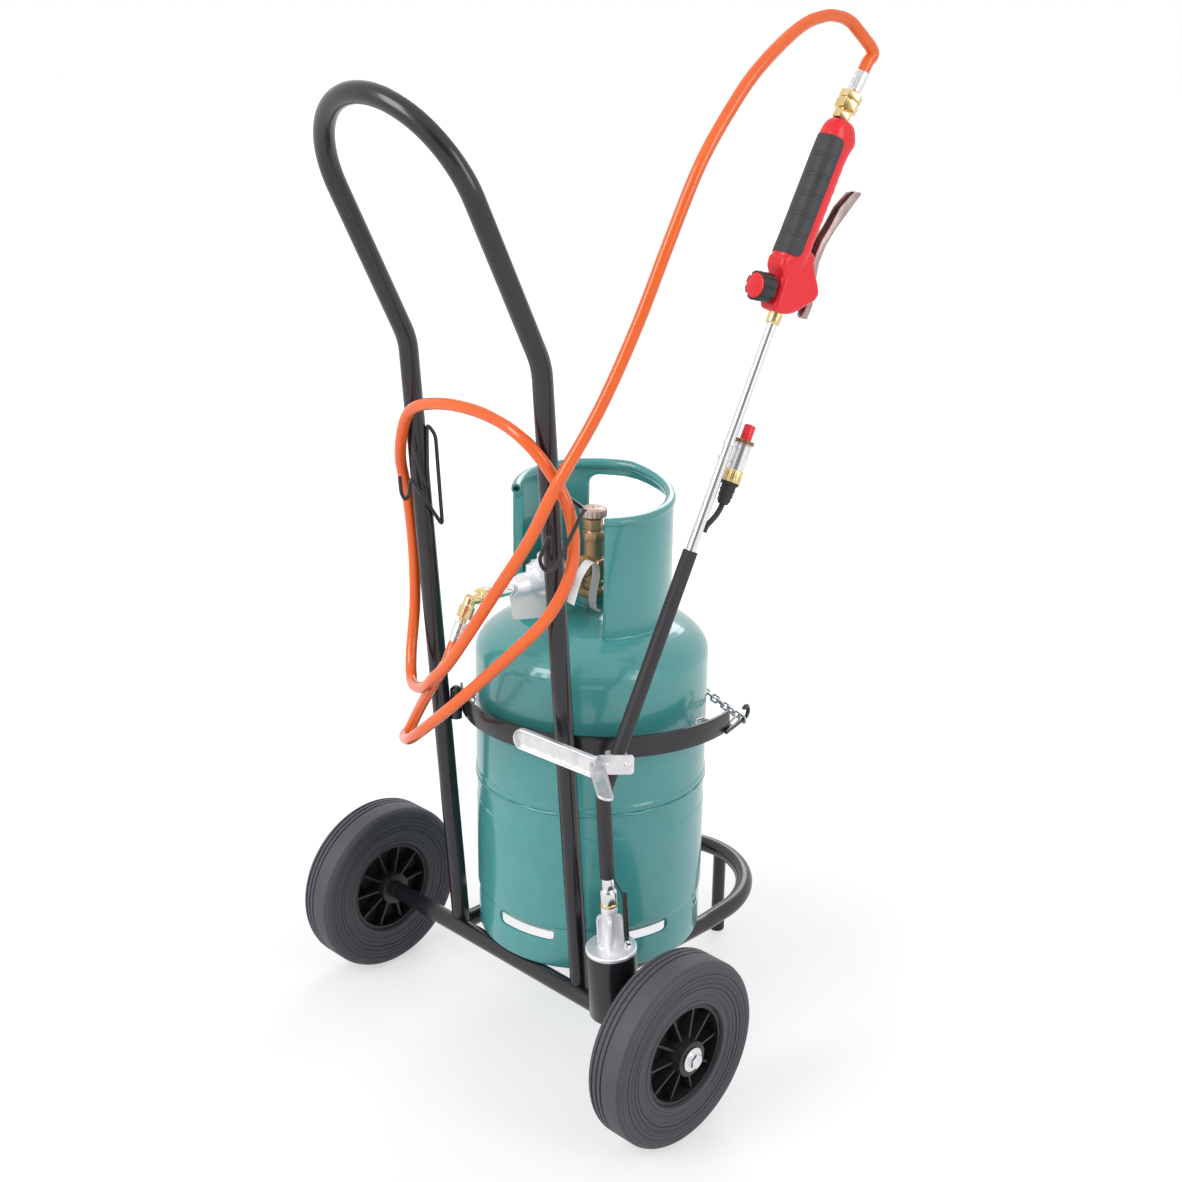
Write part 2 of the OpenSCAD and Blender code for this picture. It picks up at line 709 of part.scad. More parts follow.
// Sheet guard round the valve: open at the back, with a hand hole in front and a rolled rim
module guard_collar() {
    roll_r = collar_roll_d / 2;
    color(c_teal) at_cylinder() difference() {
        rotate([0, 0, collar_start]) union() {
            rotate_extrude(angle = collar_span, $fn = 128) {
                translate([collar_r - collar_t, shoulder_z]) square([collar_t, collar_h - roll_r]);
                translate([collar_r - roll_r, collar_top - roll_r]) difference() {
                    circle(r = roll_r);
                    circle(r = roll_r - collar_t);
                }
            }
            for (a = [0, collar_span]) rotate([0, 0, a])
                translate([collar_r - collar_fold, a == 0 ? bend_lap / 2 : -collar_t - bend_lap / 2, shoulder_z])
                    cube([collar_fold - collar_t / 2, collar_t, collar_h - collar_roll_d]);
        }
        shell_solid();
        rotate([0, 0, window_mid - window_span / 2]) rotate_extrude(angle = window_span, $fn = 128)
            translate([collar_r - 3 * collar_t, collar_top - window_low])
                square([6 * collar_t, window_low - window_high]);
    }
}

// ---------- valve and regulator ----------

module valve_bung() {
    color(c_teal) at_cylinder() difference() {
        translate([0, 0, dome_top - 8]) cylinder(h = 20, d = bung_d);
        translate([0, 0, dome_top - 8 - cut]) cylinder(h = 20 + 2 * cut, d = valve_d - 3);
        shell_without_top();
    }
}

// The part of the shell round the boss, which the boss is welded into
module shell_without_top() {
    difference() {
        shell_solid();
        translate([0, 0, shoulder_z]) cylinder(h = top_dome_h + cut, d = bung_d);
    }
}

bung_top_rise = 12;

module valve_body() {
    base_z = dome_top + bung_top_rise;
    color(c_brass) at_cylinder() {
        translate([0, 0, dome_top - 20]) cylinder(h = bung_top_rise + 20, d = valve_d - 3 - 2 * run_gap);
        translate([0, 0, base_z]) hex_prism(34, 10);
        translate([0, 0, base_z + 10]) cylinder(h = handwheel_rise - handwheel_t - 46, d = valve_d);
        translate([0, 0, handwheel_top - handwheel_t - 24]) cylinder(h = 5, d1 = valve_d, d2 = valve_d - 4);
        translate([0, 0, outlet_z]) rotate([90, 0, 0]) cylinder(h = 27, d = 21);
        translate([0, 0, outlet_z]) rotate([-90, 0, 0]) cylinder(h = 17, d = 16);
    }
}

gland_h = 15;
gland_floor = 8;
gland_drop = 19;
spindle_d = 7;

module valve_gland() {
    color(c_brass) at_cylinder() translate([0, 0, handwheel_top - handwheel_t - gland_drop])
        difference() {
        union() {
            hex_prism(24, gland_h);
            translate([0, 0, gland_h]) cylinder(h = gland_drop - gland_h - face_gap, d = 12);
        }
        translate([0, 0, gland_floor]) cylinder(h = gland_h, d = spindle_d + 2 * run_gap);
    }
}

// A fluted brass wheel on the valve's spindle
module valve_handwheel() {
    flutes = 14;
    color(c_brass) at_cylinder() translate([0, 0, handwheel_top - handwheel_t]) {
        difference() {
            rotate_extrude() polygon([[0, 0], [handwheel_d / 2 - 1.5, 0], [handwheel_d / 2, 1.5],
                [handwheel_d / 2, handwheel_t - 1.5], [handwheel_d / 2 - 1.5, handwheel_t], [9, handwheel_t],
                [8.5, handwheel_t - 1.5], [4, handwheel_t - 1.5], [3.5, handwheel_t - 0.5], [2, handwheel_t - 0.5],
                [2, handwheel_t - 3], [0, handwheel_t - 3]]);
            for (i = [0 : flutes - 1]) rotate([0, 0, 360 * i / flutes])
                translate([handwheel_d / 2 + 1.4, 0, -cut]) cylinder(h = handwheel_t + 2 * cut, d = 5);
        }
        translate([0, 0, gland_floor - gland_drop + face_gap])
            cylinder(h = gland_drop - gland_floor, d = spindle_d);
    }
}

// Everything on the regulator lies along a line that runs back from the valve's outlet
module at_outlet(distance) {
    at_cylinder() translate([0, -distance, outlet_z]) rotate([90, 0, 0]) children();
}

module regulator_nut() {
    color(c_brass) at_outlet(27) {
        hex_prism(reg_nut_flats, 18);
        translate([0, 0, 18]) cylinder(h = 4, d1 = reg_nut_flats, d2 = 18);
    }
}

// Die-cast housing with a ribbed bonnet on top
module regulator_body() {
    color(c_alloy) at_outlet(49) {
        cylinder(h = 10, d = 20);
        translate([0, 0, 10]) cylinder(h = 4, d1 = 20, d2 = reg_body_d);
        translate([0, 0, 14]) cylinder(h = 64, d = reg_body_d);
        translate([0, 0, 78]) cylinder(h = 18, d1 = reg_body_d, d2 = 21);
        translate([0, 0, 38]) rotate([-90, 0, 0]) {
            translate([0, 0, -20]) cylinder(h = 14, d = 24);
            translate([0, 0, 4]) cylinder(h = 14, d = bonnet_d);
            translate([0, 0, 18]) cylinder(h = 8, d1 = bonnet_d, d2 = bonnet_d / 2);
            translate([0, 0, 26]) hex_prism(20, 8);
            for (i = [0 : 5]) rotate([0, 0, 60 * i]) translate([bonnet_d / 2 - 1, 0, 2])
                cylinder(h = 18, d = 8);
        }
    }
}

module regulator_outlet() {
    tube = elbow_at - 145;
    color(c_steel) at_outlet(145) {
        cylinder(h = tube, d = 17);
        for (z = [4, tube - 8]) translate([0, 0, z]) cylinder(h = 4, d = 19.5);
    }
}

elbow_lean = 62;
elbow_at = 188;
elbow_turn = 28;
elbow_run = 30;

// Brass swivel nut, elbow and hose tail
module hose_elbow() {
    color(c_brass) at_outlet(elbow_at) {
        hex_prism(20, 14);
        translate([0, 0, 14]) cylinder(h = 14, d = 15);
        translate([0, 0, elbow_turn]) sphere(d = 15 + 5 * bend_swell);
        translate([0, 0, elbow_turn]) rotate([elbow_lean, 0, 0]) {
            cylinder(h = 8, d = 15);
            translate([0, 0, 8]) hex_prism(18, elbow_run - 14);
            translate([0, 0, elbow_run - 6]) cylinder(h = 6, d = 10);
        }
    }
}

module at_low_ferrule() {
    at_outlet(elbow_at) translate([0, 0, elbow_turn]) rotate([elbow_lean, 0, 0])
        translate([0, 0, elbow_run]) children();
}

crimp_h = 26;

module crimp_ferrule() {
    rotate_extrude() polygon([[0, 0], [8, 0], [8.8, 1.5], [8.8, 6], [8.2, 7], [8.2, 9], [8.8, 10],
        [8.8, 16], [8.2, 17], [8.2, 19], [8.8, 20], [8.8, crimp_h - 1], [8, crimp_h], [0, crimp_h]]);
}

module hose_ferrule_low() { color(c_steel) at_low_ferrule() crimp_ferrule(); }

// A narrow paper strip that hangs from the valve in two bows
module valve_tag() {
    strip = concat(arc_points(0, 0, 24, 20, 150, 14), arc_points(-31, 18, 12, -30, -160, 8));
    thick = concat(arc_points(0, 0, 24.5, 20, 150, 14), arc_points(-31, 18, 11.5, -30, -160, 8));
    color(c_white) at_cylinder() translate([40, -62, dome_top + 14]) rotate([90, 0, 45])
        linear_extrude(18) polygon(concat(strip, turned(thick)));
}

// ---------- torch ----------

module at_holder() {
    at_axle() translate([holder_x, 0, axle_z]) rotate([lower_lean, 0, 0]) children();
}

module at_torch() { at_holder() rotate([0, 0, -torch_turn]) children(); }

// Along the lance: the height is counted from its bend, and +Y is the side of the trigger
module on_lance(z) {
    at_torch() translate([0, 0, bend_run]) rotate([-lance_bend, 0, 0])
        translate([0, 0, z]) children();
}

// Straight up the neck, round the bend and up the lance
module lance_path(d, z_from, run_to) {
    at_torch() {
        translate([0, 0, z_from]) cylinder(h = bend_run - lean_cut - z_from + bend_lap, d = d);
        translate([0, bend_lean_r, bend_run - lean_cut]) {
            rotate([90, 0, -90]) tube_bend(bend_lean_r, lance_bend, d);
            rotate([-lance_bend, 0, 0]) translate([0, -bend_lean_r, -bend_lap])
                cylinder(h = run_to - lean_cut + bend_lap, d = d);
        }
    }
}

module burner_bell() {
    color(c_frame) at_torch() translate([0, 0, plate_z - bell_h]) difference() {
        cylinder(h = bell_h, d = bell_d);
        translate([0, 0, -cut]) cylinder(h = bell_h - 2 + cut, d = bell_d - 3);
    }
}

// Cast head: a round plate with four arched fins that run up to the neck
module burner_head() {
    fin_t = 5;
    fin_out = 17;
    fin_h = 48;
    panel_t = 1;
    core_h = head_rise - 8;
    color(c_alloy) at_torch() translate([0, 0, plate_z]) {
        cylinder(h = plate_t - 1.5, d = plate_d);
        translate([0, 0, plate_t - 1.5]) cylinder(h = 1.5, d1 = plate_d, d2 = plate_d - 3);
        for (i = [0 : 3]) rotate([0, 0, 45 + torch_turn + 90 * i]) translate([0, fin_t / 2, plate_t - cut])
            rotate([90, 0, 0]) difference() {
                linear_extrude(fin_t) polygon(concat([[0, 0], [fin_out, 0]],
                    arc_points(fin_out - 8, fin_h - 8, 8, 0, 90, 8), [[0, fin_h]]));
                for (z = [-cut, fin_t - panel_t]) translate([0, 0, z]) linear_extrude(panel_t + cut)
                    polygon(concat([[0, 12], [fin_out - 2, 6]],
                        arc_points(fin_out - 8, fin_h - 9, 6, 0, 90, 8), [[0, fin_h - 3]]));
            }
        translate([0, 0, plate_t - cut]) cylinder(h = core_h, d1 = 20, d2 = 18);
        translate([0, 0, plate_t + core_h - 2 * cut]) cylinder(h = head_rise - core_h + 2 * cut, d = 21);
    }
}

module head_ring() {
    color(c_brass) at_torch() translate([0, 0, head_top]) cylinder(h = ring_h, d = 23);
}

module head_nut() {
    color(c_steel) at_torch() translate([0, 0, head_top + ring_h]) {
        cylinder(h = nut_h - 4, d = 21.5);
        translate([0, 0, nut_h - 4]) cylinder(h = 4, d1 = 21.5, d2 = 18);
    }
}

module neck_ferrule() {
    color(c_steel) at_torch() translate([0, 0, head_top + ring_h + nut_h])
        cylinder(h = ferrule_h, d = 16);
}

module lance_tube() { color(c_steel) lance_path(lance_d, sleeve_z, lance_run); }

module neck_sleeve() {
    color(c_rubber) at_torch() translate([0, 0, sleeve_z]) difference() {
        cylinder(h = bend_run - lean_cut - sleeve_z, d = sleeve_d);
        translate([0, 0, -cut]) cylinder(h = bend_run - sleeve_z, d = lance_d + 2 * seat_gap);
    }
}

// The rest of the sleeve, round the bend and up the lance
module lance_sleeve() {
    color(c_rubber) difference() {
        lance_path(sleeve_d, bend_run - lean_cut, sleeve_run);
        lance_path(lance_d + 2 * seat_gap, bend_run - lean_cut - cut, sleeve_run + cut);
    }
}

// ---------- torch stand ----------

clamp_run = 47;
clamp_at = lance_point(clamp_run) - [0, 0, 2];
clamp_turn = 47;
clamp_w = 43;
clamp_h = 26;
clamp_front = 15;
strip_h = 23;
strip_t = 2.5;
strip_deep = 8;
leg_run = 119;

// At the middle of the clamp, level, with -Y square to the plate's front
module at_clamp() {
    at_axle() translate(clamp_at) rotate([0, 0, clamp_turn]) children();
}

// A plate screwed to a saddle block behind it, with the sleeve held between them
module stand_clamp() {
    color(c_steel) difference() {
        at_clamp() {
            translate([-clamp_w / 2, -clamp_front, -clamp_h / 2]) cube([clamp_w, strip_t, clamp_h]);
            translate([-12, -clamp_front + strip_t, -clamp_h / 2 + 4]) cube([24, 20, clamp_h - 8]);
        }
        lance_path(sleeve_d, bend_run - lean_cut, sleeve_run);
    }
}

// One channel leg along X, with a round end, open towards -Y
module stand_leg() {
    r = strip_h / 2;
    difference() {
        union() {
            translate([0, 0, -r]) cube([leg_run - r, strip_deep, strip_h]);
            translate([leg_run - r, strip_deep, 0]) rotate([90, 0, 0]) cylinder(h = strip_deep, d = strip_h);
        }
        translate([-cut, -strip_t, -r + strip_t]) cube([leg_run - r + cut, strip_deep, strip_h - 2 * strip_t]);
        translate([leg_run - r, strip_deep - strip_t, 0]) rotate([90, 0, 0])
            cylinder(h = strip_deep, d = strip_h - 2 * strip_t);
    }
}

leg_turn_left = 145.6;
leg_turn_right = -85.5;
lift_left = 6.2;
lift_right = 9.5;
fold_up = 4;
fold_x = -clamp_w / 2 - 3;
fold_y = -clamp_front - 12;

// Two channel legs that hold the burner off the ground when the torch is laid down
module stand_legs() {
    color(c_steel) at_clamp() {
        translate([fold_x, fold_y, fold_up]) rotate([0, 0, leg_turn_left]) rotate([0, -lift_left, 0])
            stand_leg();
        translate([fold_x, fold_y, fold_up]) rotate([0, 0, leg_turn_right]) rotate([0, -lift_right, 0])
            mirror([0, 1, 0]) stand_leg();
        difference() {
            translate([fold_x - 4, fold_y - 4, -clamp_h / 2]) cube([9, 15.9, clamp_h]);
            translate([fold_x - 4 - cut, fold_y - 4 - cut, -clamp_h]) cube([4, 9, 2 * clamp_h]);
        }
    }
}

module stand_screws() {
    color(c_steel) at_clamp() for (x = [-13, 14]) translate([x, -clamp_front, 0])
        rotate([90, 0, 0]) difference() {
            cylinder(h = 3.2, d1 = 9, d2 = 6);
            for (a = [0, 90]) rotate([0, 0, a]) translate([-2.5, -0.5, 1.6]) cube([5, 1, 3]);
        }
}

// ---------- spark igniter ----------

button_travel = 5;
igniter_run = 451;
igniter_off = lance_d / 2 + 15;

module on_igniter(z) { on_lance(igniter_run) translate([0, igniter_off, z]) children(); }

module electrode() {
    color(c_plastic) at_holder() rotate([0, 0, 45]) translate([20.6, 0, plate_z + plate_t]) {
        cylinder(h = 4, d = 7);
        translate([0, 0, 4]) cylinder(h = 66, d = 6);
    }
}

module igniter_clips() {
    color(c_steel) difference() {
        union() for (z = [-17, 2]) on_lance(igniter_run + z) {
            cylinder(h = 3, d = lance_d + 4);
            translate([-3, 0, 0]) cube([6, igniter_off - 6, 3]);
        }
        lance_path(lance_d + 2 * run_gap, sleeve_z, lance_run);
        on_igniter(-30) cylinder(h = 60, d = 17.8);
    }
}

module igniter_body() {
    color(c_alloy) on_igniter(0) difference() {
        union() {
            translate([0, 0, -24]) cylinder(h = 35, d = 17.8);
            translate([0, 0, 11]) cylinder(h = 3, d = 20);
        }
        translate([0, 0, 14 - button_travel - 1]) cylinder(h = 2 * button_travel, d = 10 + 2 * run_gap);
    }
}

module igniter_nut() {
    knurls = 20;
    color(c_brass) on_igniter(-38) difference() {
        cylinder(h = 14, d = 18);
        for (i = [0 : knurls - 1]) rotate([0, 0, 360 * i / knurls])
            translate([9, 0, -cut]) cylinder(h = 16, d = 1.6, $fn = 16);
    }
}

module igniter_button() {
    color(c_red) on_igniter(14 + face_gap) {
        translate([0, 0, button_travel]) cylinder(h = 13, d = 13);
        translate([0, 0, button_travel + 13]) cylinder(h = 1, d1 = 13, d2 = 11);
        translate([0, 0, -0.7]) cylinder(h = button_travel + cut, d = 10);
    }
}

// Rubber boot over the cable's end, with the cable down to the sleeve
module igniter_boot() {
    cable_d = 5;
    color(c_rubber) on_igniter(-38) {
        translate([0, 0, -4]) cylinder(h = 4, d = 16);
        translate([0, 0, -28]) cylinder(h = 24, d1 = 8, d2 = 13);
        wire_path([[0, 0, -28], [0, -2, -40], [0, -7, -51], [0, -11, -58]], cable_d);
    }
}

// ---------- torch handle ----------

// Outline of the grip's section, from above: an oval with flattened sides
function grip_oval(width, depth, n) = [for (i = [0 : n - 1]) let (a = 360 * i / n,
    c = cos(a), s = sin(a)) [width / 2 * sign(c) * pow(abs(c), 0.8), depth / 2 * sign(s) * pow(abs(s), 0.8)]];

module grip_section(width, depth) { polygon(grip_oval(width, depth, 40)); }

module lance_collar() {
    color(c_brass) on_lance(lance_run) cylinder(h = 13, d = 14);
}

handle_z = lance_run + 13;
grip_low = 66;
grip_high = 222;
block_w = 32;
knob_hole = 9;
pin_hole = 4;

// Across the grip's middle, which leans back from the lance
module on_grip(z) { on_lance(handle_z) translate([0, -grip_back, z]) rotate([-grip_lean, 0, 0]) children(); }

module torch_handle() {
    color(c_red) difference() {
        union() {
            // block that holds the valve
            on_lance(handle_z) translate([-block_w / 2, 0, 0]) rotate([90, 0, 90])
                linear_extrude(block_w) polygon([[-18, 0], [2, 0], [16, 4], [28, 14], [38, 25],
                    [44, 35], [45, 43], [38, 54], [27, 64], [18, 78], [10, 86], [-27, 86], [-31, 70],
                    [-31, 58], [-28, 46], [-21, 42]]);
            on_grip(grip_low - 6) linear_extrude(grip_high - grip_low + 6)
                grip_section(grip_width, grip_depth);
            on_grip(grip_high) linear_extrude(handle_h - grip_high, scale = 0.66)
                grip_section(grip_width, grip_depth);
        }
        grip_recess(0);
        on_inlet(0) cylinder(h = inlet_h, d = 30);
        on_lance(handle_z) {
            trigger_slot();
            on_handle_knob(-14) cylinder(h = 40, d = knob_hole);
            translate([-block_w, lever_pin.x, lever_pin.y]) bar_x(0, 2 * block_w, pin_hole);
        }
    }
}

// The space of the rubber insert on the palm side of the grip
module grip_recess(gap) {
    on_grip(grip_low + gap) difference() {
        linear_extrude(grip_high - 12 - grip_low - 2 * gap) difference() {
            grip_section(grip_width + 2, grip_depth + 2);
            grip_section(grip_width - 6 + 2 * gap, grip_depth - 6 + 2 * gap);
        }
        translate([-grip_width, 8 - gap, -cut]) cube([2 * grip_width, grip_depth, grip_high]);
    }
}

// Rubber insert with shallow grooves across it
module grip_insert() {
    color(c_rubber) difference() {
        intersection() {
            grip_recess(seat_gap);
            on_grip(grip_low) linear_extrude(grip_high) grip_section(grip_width + 1, grip_depth + 1);
        }
        for (i = [1 : 5]) on_grip(grip_low + i * 24.5) linear_extrude(2) difference() {
            grip_section(grip_width + 6, grip_depth + 6);
            grip_section(grip_width - 0.4, grip_depth - 0.4);
        }
    }
}

knob_z = 25;
knob_back = 12;
knob_tilt = 10;
knob_out = 15;

module on_handle_knob(z) {
    translate([0, -knob_back, knob_z]) rotate([90 + knob_tilt, 0, 0]) translate([0, 0, z]) children();
}

// Fluted flow knob with a red face, on the valve's spindle
module flow_knob() {
    lobes = 8;
    on_lance(handle_z) on_handle_knob(knob_out) {
        color(c_plastic) difference() {
            rotate_extrude() polygon([[0, 0], [16, 0], [17.5, 1.5], [17.5, 17], [16, 18.5], [14, 18.5],
                [14, 17], [0, 17]]);
            for (i = [0 : lobes - 1]) rotate([0, 0, 360 * i / lobes])
                translate([20.5, 0, -cut]) cylinder(h = 22, d = 10);
        }
        color(c_red) translate([0, 0, 17]) cylinder(h = 2, d = 27.6);
        color(c_brass) translate([0, 0, -knob_out - 10]) cylinder(h = knob_out + 10 + cut,
            d = knob_hole - 2 * run_gap);
    }
}

lever_pin = [36, 44];
lever_w = 14;
lever_t = 1.6;

module trigger_slot() {
    translate([-lever_w / 2 - 1, 17, -cut]) cube([lever_w + 2, 60, 100]);
}

// A curved channel lever; its lower tip works the valve
function lever_outline() = [[41, 10], [46, 8], [47, 26], [39, 50], [33, 75], [34, 98], [41, 122],
                            [52, 150], [61, 172], [58, 174], [49, 170], [36, 146], [31, 121], [25, 100],
                            [24, 80], [28, 55], [36, 30]];

module trigger() {
    color(c_steel) on_lance(handle_z) translate([-lever_w / 2, 0, 0]) rotate([90, 0, 90])
        difference() {
            linear_extrude(lever_w) polygon(lever_outline());
            translate([0, 0, lever_t]) linear_extrude(lever_w - 2 * lever_t)
                translate([-lever_t, 0]) polygon(lever_outline());
            translate([lever_pin.x, lever_pin.y, -cut]) cylinder(h = lever_w + 2 * cut, d = pin_hole);
        }
}

module trigger_pin() {
    color(c_steel) on_lance(handle_z) translate([0, lever_pin.x, lever_pin.y])
        bar_x(-block_w / 2, block_w / 2, pin_hole - 2 * run_gap);
}

inlet_h = 12;
coupling_h = 24;
inlet_off = 8;
inlet_lean = 8;

module on_inlet(z) {
    on_lance(handle_z + handle_h) translate([0, -inlet_off, 0]) rotate([-inlet_lean, 0, 0])
        translate([0, 0, z]) children();
}

module inlet_nut() {
    color(c_brass) on_inlet(0) {
        hex_prism(19, inlet_h - 3);
        translate([0, 0, inlet_h - 3]) cylinder(h = 3, d = 14);
    }
}

module hose_coupling() {
    color(c_brass) on_inlet(inlet_h) {
        hex_prism(25, 11);
        translate([0, 0, 11]) cylinder(h = 2, d = 20);
        translate([0, 0, 13]) hex_prism(25, 9);
        translate([0, 0, 22]) cylinder(h = 2, d = 12);
    }
}

module hose_ferrule_top() {
    color(c_steel) on_inlet(inlet_h + coupling_h) crimp_ferrule();
}

// ---------- hose ----------

// Seen from the bend of the lance: its direction, and the direction of its trigger side
lance_along = [sin(lance_bend) * sin(torch_turn),
    sin(lance_bend) * cos(torch_turn) * cos(lower_lean) - cos(lance_bend) * sin(lower_lean),
    sin(lance_bend) * cos(torch_turn) * sin(lower_lean) + cos(lance_bend) * cos(lower_lean)];
lance_side = [cos(lance_bend) * sin(torch_turn),
    cos(lance_bend) * cos(torch_turn) * cos(lower_lean) + sin(lance_bend) * sin(lower_lean),
    cos(lance_bend) * cos(torch_turn) * sin(lower_lean) - sin(lance_bend) * cos(lower_lean)];
inlet_along = cos(inlet_lean) * lance_along + sin(inlet_lean) * lance_side;
hose_top = [0, axle_y, 0] + lance_point(handle_z + handle_h) - inlet_off * lance_side
    + (inlet_h + coupling_h + crimp_h + seat_gap) * inlet_along;
low_along = [0, -cos(elbow_lean), -sin(elbow_lean)];
hose_end = [0, axle_y + cyl_forward - elbow_at - elbow_turn, outlet_z]
    + (elbow_run + crimp_h + seat_gap) * low_along;

// Route of the hose, in the part's own frame: from the torch to the first hook, and on
// round both hooks to the regulator
hose_route_upper = [
    hose_top, hose_top + 14 * inlet_along, hose_top + 28 * inlet_along,
    [254, 212, 1342], [251, 202, 1350], [249, 185, 1355], [247, 159, 1355],
    [243, 119, 1342], [239, 56, 1299], [235, 12, 1253], [230, -30, 1195], [222, -67, 1116],
    [210, -104, 1024], [188, -140, 930], [160, -182, 840]];
hose_route_lower = [
    [160, -182, 840], [134, -198, 776], [95, -214, 709], [48, -224, 638], [12, -224, 593],
    [-18, -222, 566], [-50, -211, 542], [-90, -195, 527], [-117, -179, 529], [-136, -163, 556],
    [-147, -146, 620], [-149, -145, 696], [-144, -156, 766], [-134, -174, 828], [-96, -188, 888],
    [-30, -194, 910], [48, -192, 910], [112, -190, 892], [144, -170, 848], [160, -156, 796],
    [160, -156, 736], [138, -172, 676], [98, -198, 622], [37, -225, 555], [-16, -231, 507],
    [-60, -224, 473], [-98, -205, 452], [-122, -189, 445], [-125, -178, 450], [-110, -177, 476],
    [-85, -184, 506], [-52, -194, 541], [-20, -201, 578],
    hose_end + 28 * low_along, hose_end + 14 * low_along, hose_end];

hose_sides = 10;
hose_steps = 2;
hose_split = hose_steps * (len(hose_route_upper) - 1);
hose_curve = smooth(concat(hose_route_upper, [for (i = [1 : len(hose_route_lower) - 1]) hose_route_lower[i]]),
    hose_steps);

module hose_upper() { color(c_hose) swept(hose_curve, hose_d, hose_sides, 0, hose_split); }

module hose_lower() {
    color(c_hose) swept(hose_curve, hose_d, hose_sides, hose_split, len(hose_curve) - 1);
}

handle_frame();
axle_tube();
base_loop();
front_leg();
leg_cap();
axle_rod();
cylinder_band();
band_lugs();
band_hook();
chain();
hose_hook_left();
hose_hook_right();
torch_holder();
tyre_left();
hub_left();
tyre_right();
hub_right();
axle_washers();
axle_bolts();
cylinder_shell();
foot_ring();
guard_collar();
valve_bung();
valve_body();
valve_gland();
valve_handwheel();
regulator_nut();
regulator_body();
regulator_outlet();
hose_elbow();
hose_ferrule_low();
valve_tag();
burner_bell();
burner_head();
head_ring();
head_nut();
neck_ferrule();
neck_sleeve();
lance_tube();
lance_sleeve();
stand_clamp();
stand_legs();
stand_screws();
electrode();
igniter_clips();
igniter_body();
igniter_nut();
igniter_button();
igniter_boot();
lance_collar();
torch_handle();
grip_insert();
flow_knob();
trigger();
trigger_pin();
inlet_nut();
hose_coupling();
hose_ferrule_top();
hose_upper();
hose_lower();
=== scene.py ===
import json
import math

import bpy
from mathutils import Matrix, Vector


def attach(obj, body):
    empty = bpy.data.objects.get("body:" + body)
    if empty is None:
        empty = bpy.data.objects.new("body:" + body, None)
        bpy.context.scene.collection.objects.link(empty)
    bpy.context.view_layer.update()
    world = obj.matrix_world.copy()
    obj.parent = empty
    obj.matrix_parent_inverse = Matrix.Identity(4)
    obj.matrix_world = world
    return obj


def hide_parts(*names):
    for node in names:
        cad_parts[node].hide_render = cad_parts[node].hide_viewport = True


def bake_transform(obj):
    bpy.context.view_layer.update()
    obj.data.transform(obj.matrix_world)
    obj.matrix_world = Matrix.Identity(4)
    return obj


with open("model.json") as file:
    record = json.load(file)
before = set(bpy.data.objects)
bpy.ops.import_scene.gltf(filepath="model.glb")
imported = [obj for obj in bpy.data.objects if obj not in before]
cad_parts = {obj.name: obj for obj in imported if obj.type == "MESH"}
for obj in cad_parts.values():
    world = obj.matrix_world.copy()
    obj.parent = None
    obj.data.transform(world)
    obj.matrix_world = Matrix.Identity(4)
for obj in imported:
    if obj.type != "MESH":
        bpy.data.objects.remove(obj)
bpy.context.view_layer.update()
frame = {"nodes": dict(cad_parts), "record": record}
nodes = frame["nodes"]

# ---------- Camera ----------
# A standard lens at chest height, about 2 m off behind the right wheel and looking down
# on the trolley, as someone who walks up to it would see it.
view_right = Vector((0.70493377, 0.70918848, 0.01095766))
view_up = Vector((-0.23333306, 0.21728861, 0.94780871))
camera_data = bpy.data.cameras.new("camera")
camera_data.sensor_fit = "HORIZONTAL"
camera_data.sensor_width = 36
camera_data.lens = 48.58
camera_data.clip_end = 200
camera = bpy.data.objects.new("camera", camera_data)
bpy.context.scene.collection.objects.link(camera)
camera_way = Matrix((view_right, view_up, view_right.cross(view_up))).transposed().to_4x4()
camera.matrix_world = Matrix.Translation((1.436115, -1.400256, 1.309658)) @ camera_way
bpy.context.scene.camera = camera

# ---------- Floor ----------
# A plain pale floor. Under the trolley it keeps part of the soft shadow, and further out
# the camera and the reflections see it as plain white.
bpy.ops.object.select_all(action="DESELECT")
bpy.ops.mesh.primitive_plane_add(size=120)
floor = bpy.context.object
floor.name = "floor"
floor_paint = bpy.data.materials.new("floor")
floor_paint.use_nodes = True
tree = floor_paint.node_tree
tree.nodes.clear()
matt = tree.nodes.new("ShaderNodeBsdfDiffuse")
matt.inputs["Color"].default_value = (0.86, 0.86, 0.87, 1)
white = tree.nodes.new("ShaderNodeEmission")
white.inputs["Color"].default_value = (1, 1, 1, 1)
seen = tree.nodes.new("ShaderNodeLightPath")
share = tree.nodes.new("ShaderNodeMath")
share.operation = "MULTIPLY"
either = tree.nodes.new("ShaderNodeMath")
either.operation = "MAXIMUM"
mixed = tree.nodes.new("ShaderNodeMixShader")
result = tree.nodes.new("ShaderNodeOutputMaterial")
ground = tree.nodes.new("ShaderNodeTexCoord")
far = tree.nodes.new("ShaderNodeVectorMath")
far.operation = "LENGTH"
fade = tree.nodes.new("ShaderNodeMapRange")
fade.inputs["From Min"].default_value = 0.45
fade.inputs["From Max"].default_value = 1.5
fade.inputs["To Min"].default_value = 0.42
bright = tree.nodes.new("ShaderNodeMath")
bright.operation = "MULTIPLY_ADD"
bright.inputs[1].default_value = 0.3
bright.inputs[2].default_value = 1
tree.links.new(seen.outputs["Is Camera Ray"], bright.inputs[0])
tree.links.new(bright.outputs[0], white.inputs["Strength"])
tree.links.new(ground.outputs["Object"], far.inputs[0])
tree.links.new(far.outputs["Value"], fade.inputs["Value"])
tree.links.new(fade.outputs["Result"], share.inputs[1])
tree.links.new(seen.outputs["Is Camera Ray"], either.inputs[0])
tree.links.new(seen.outputs["Is Glossy Ray"], either.inputs[1])
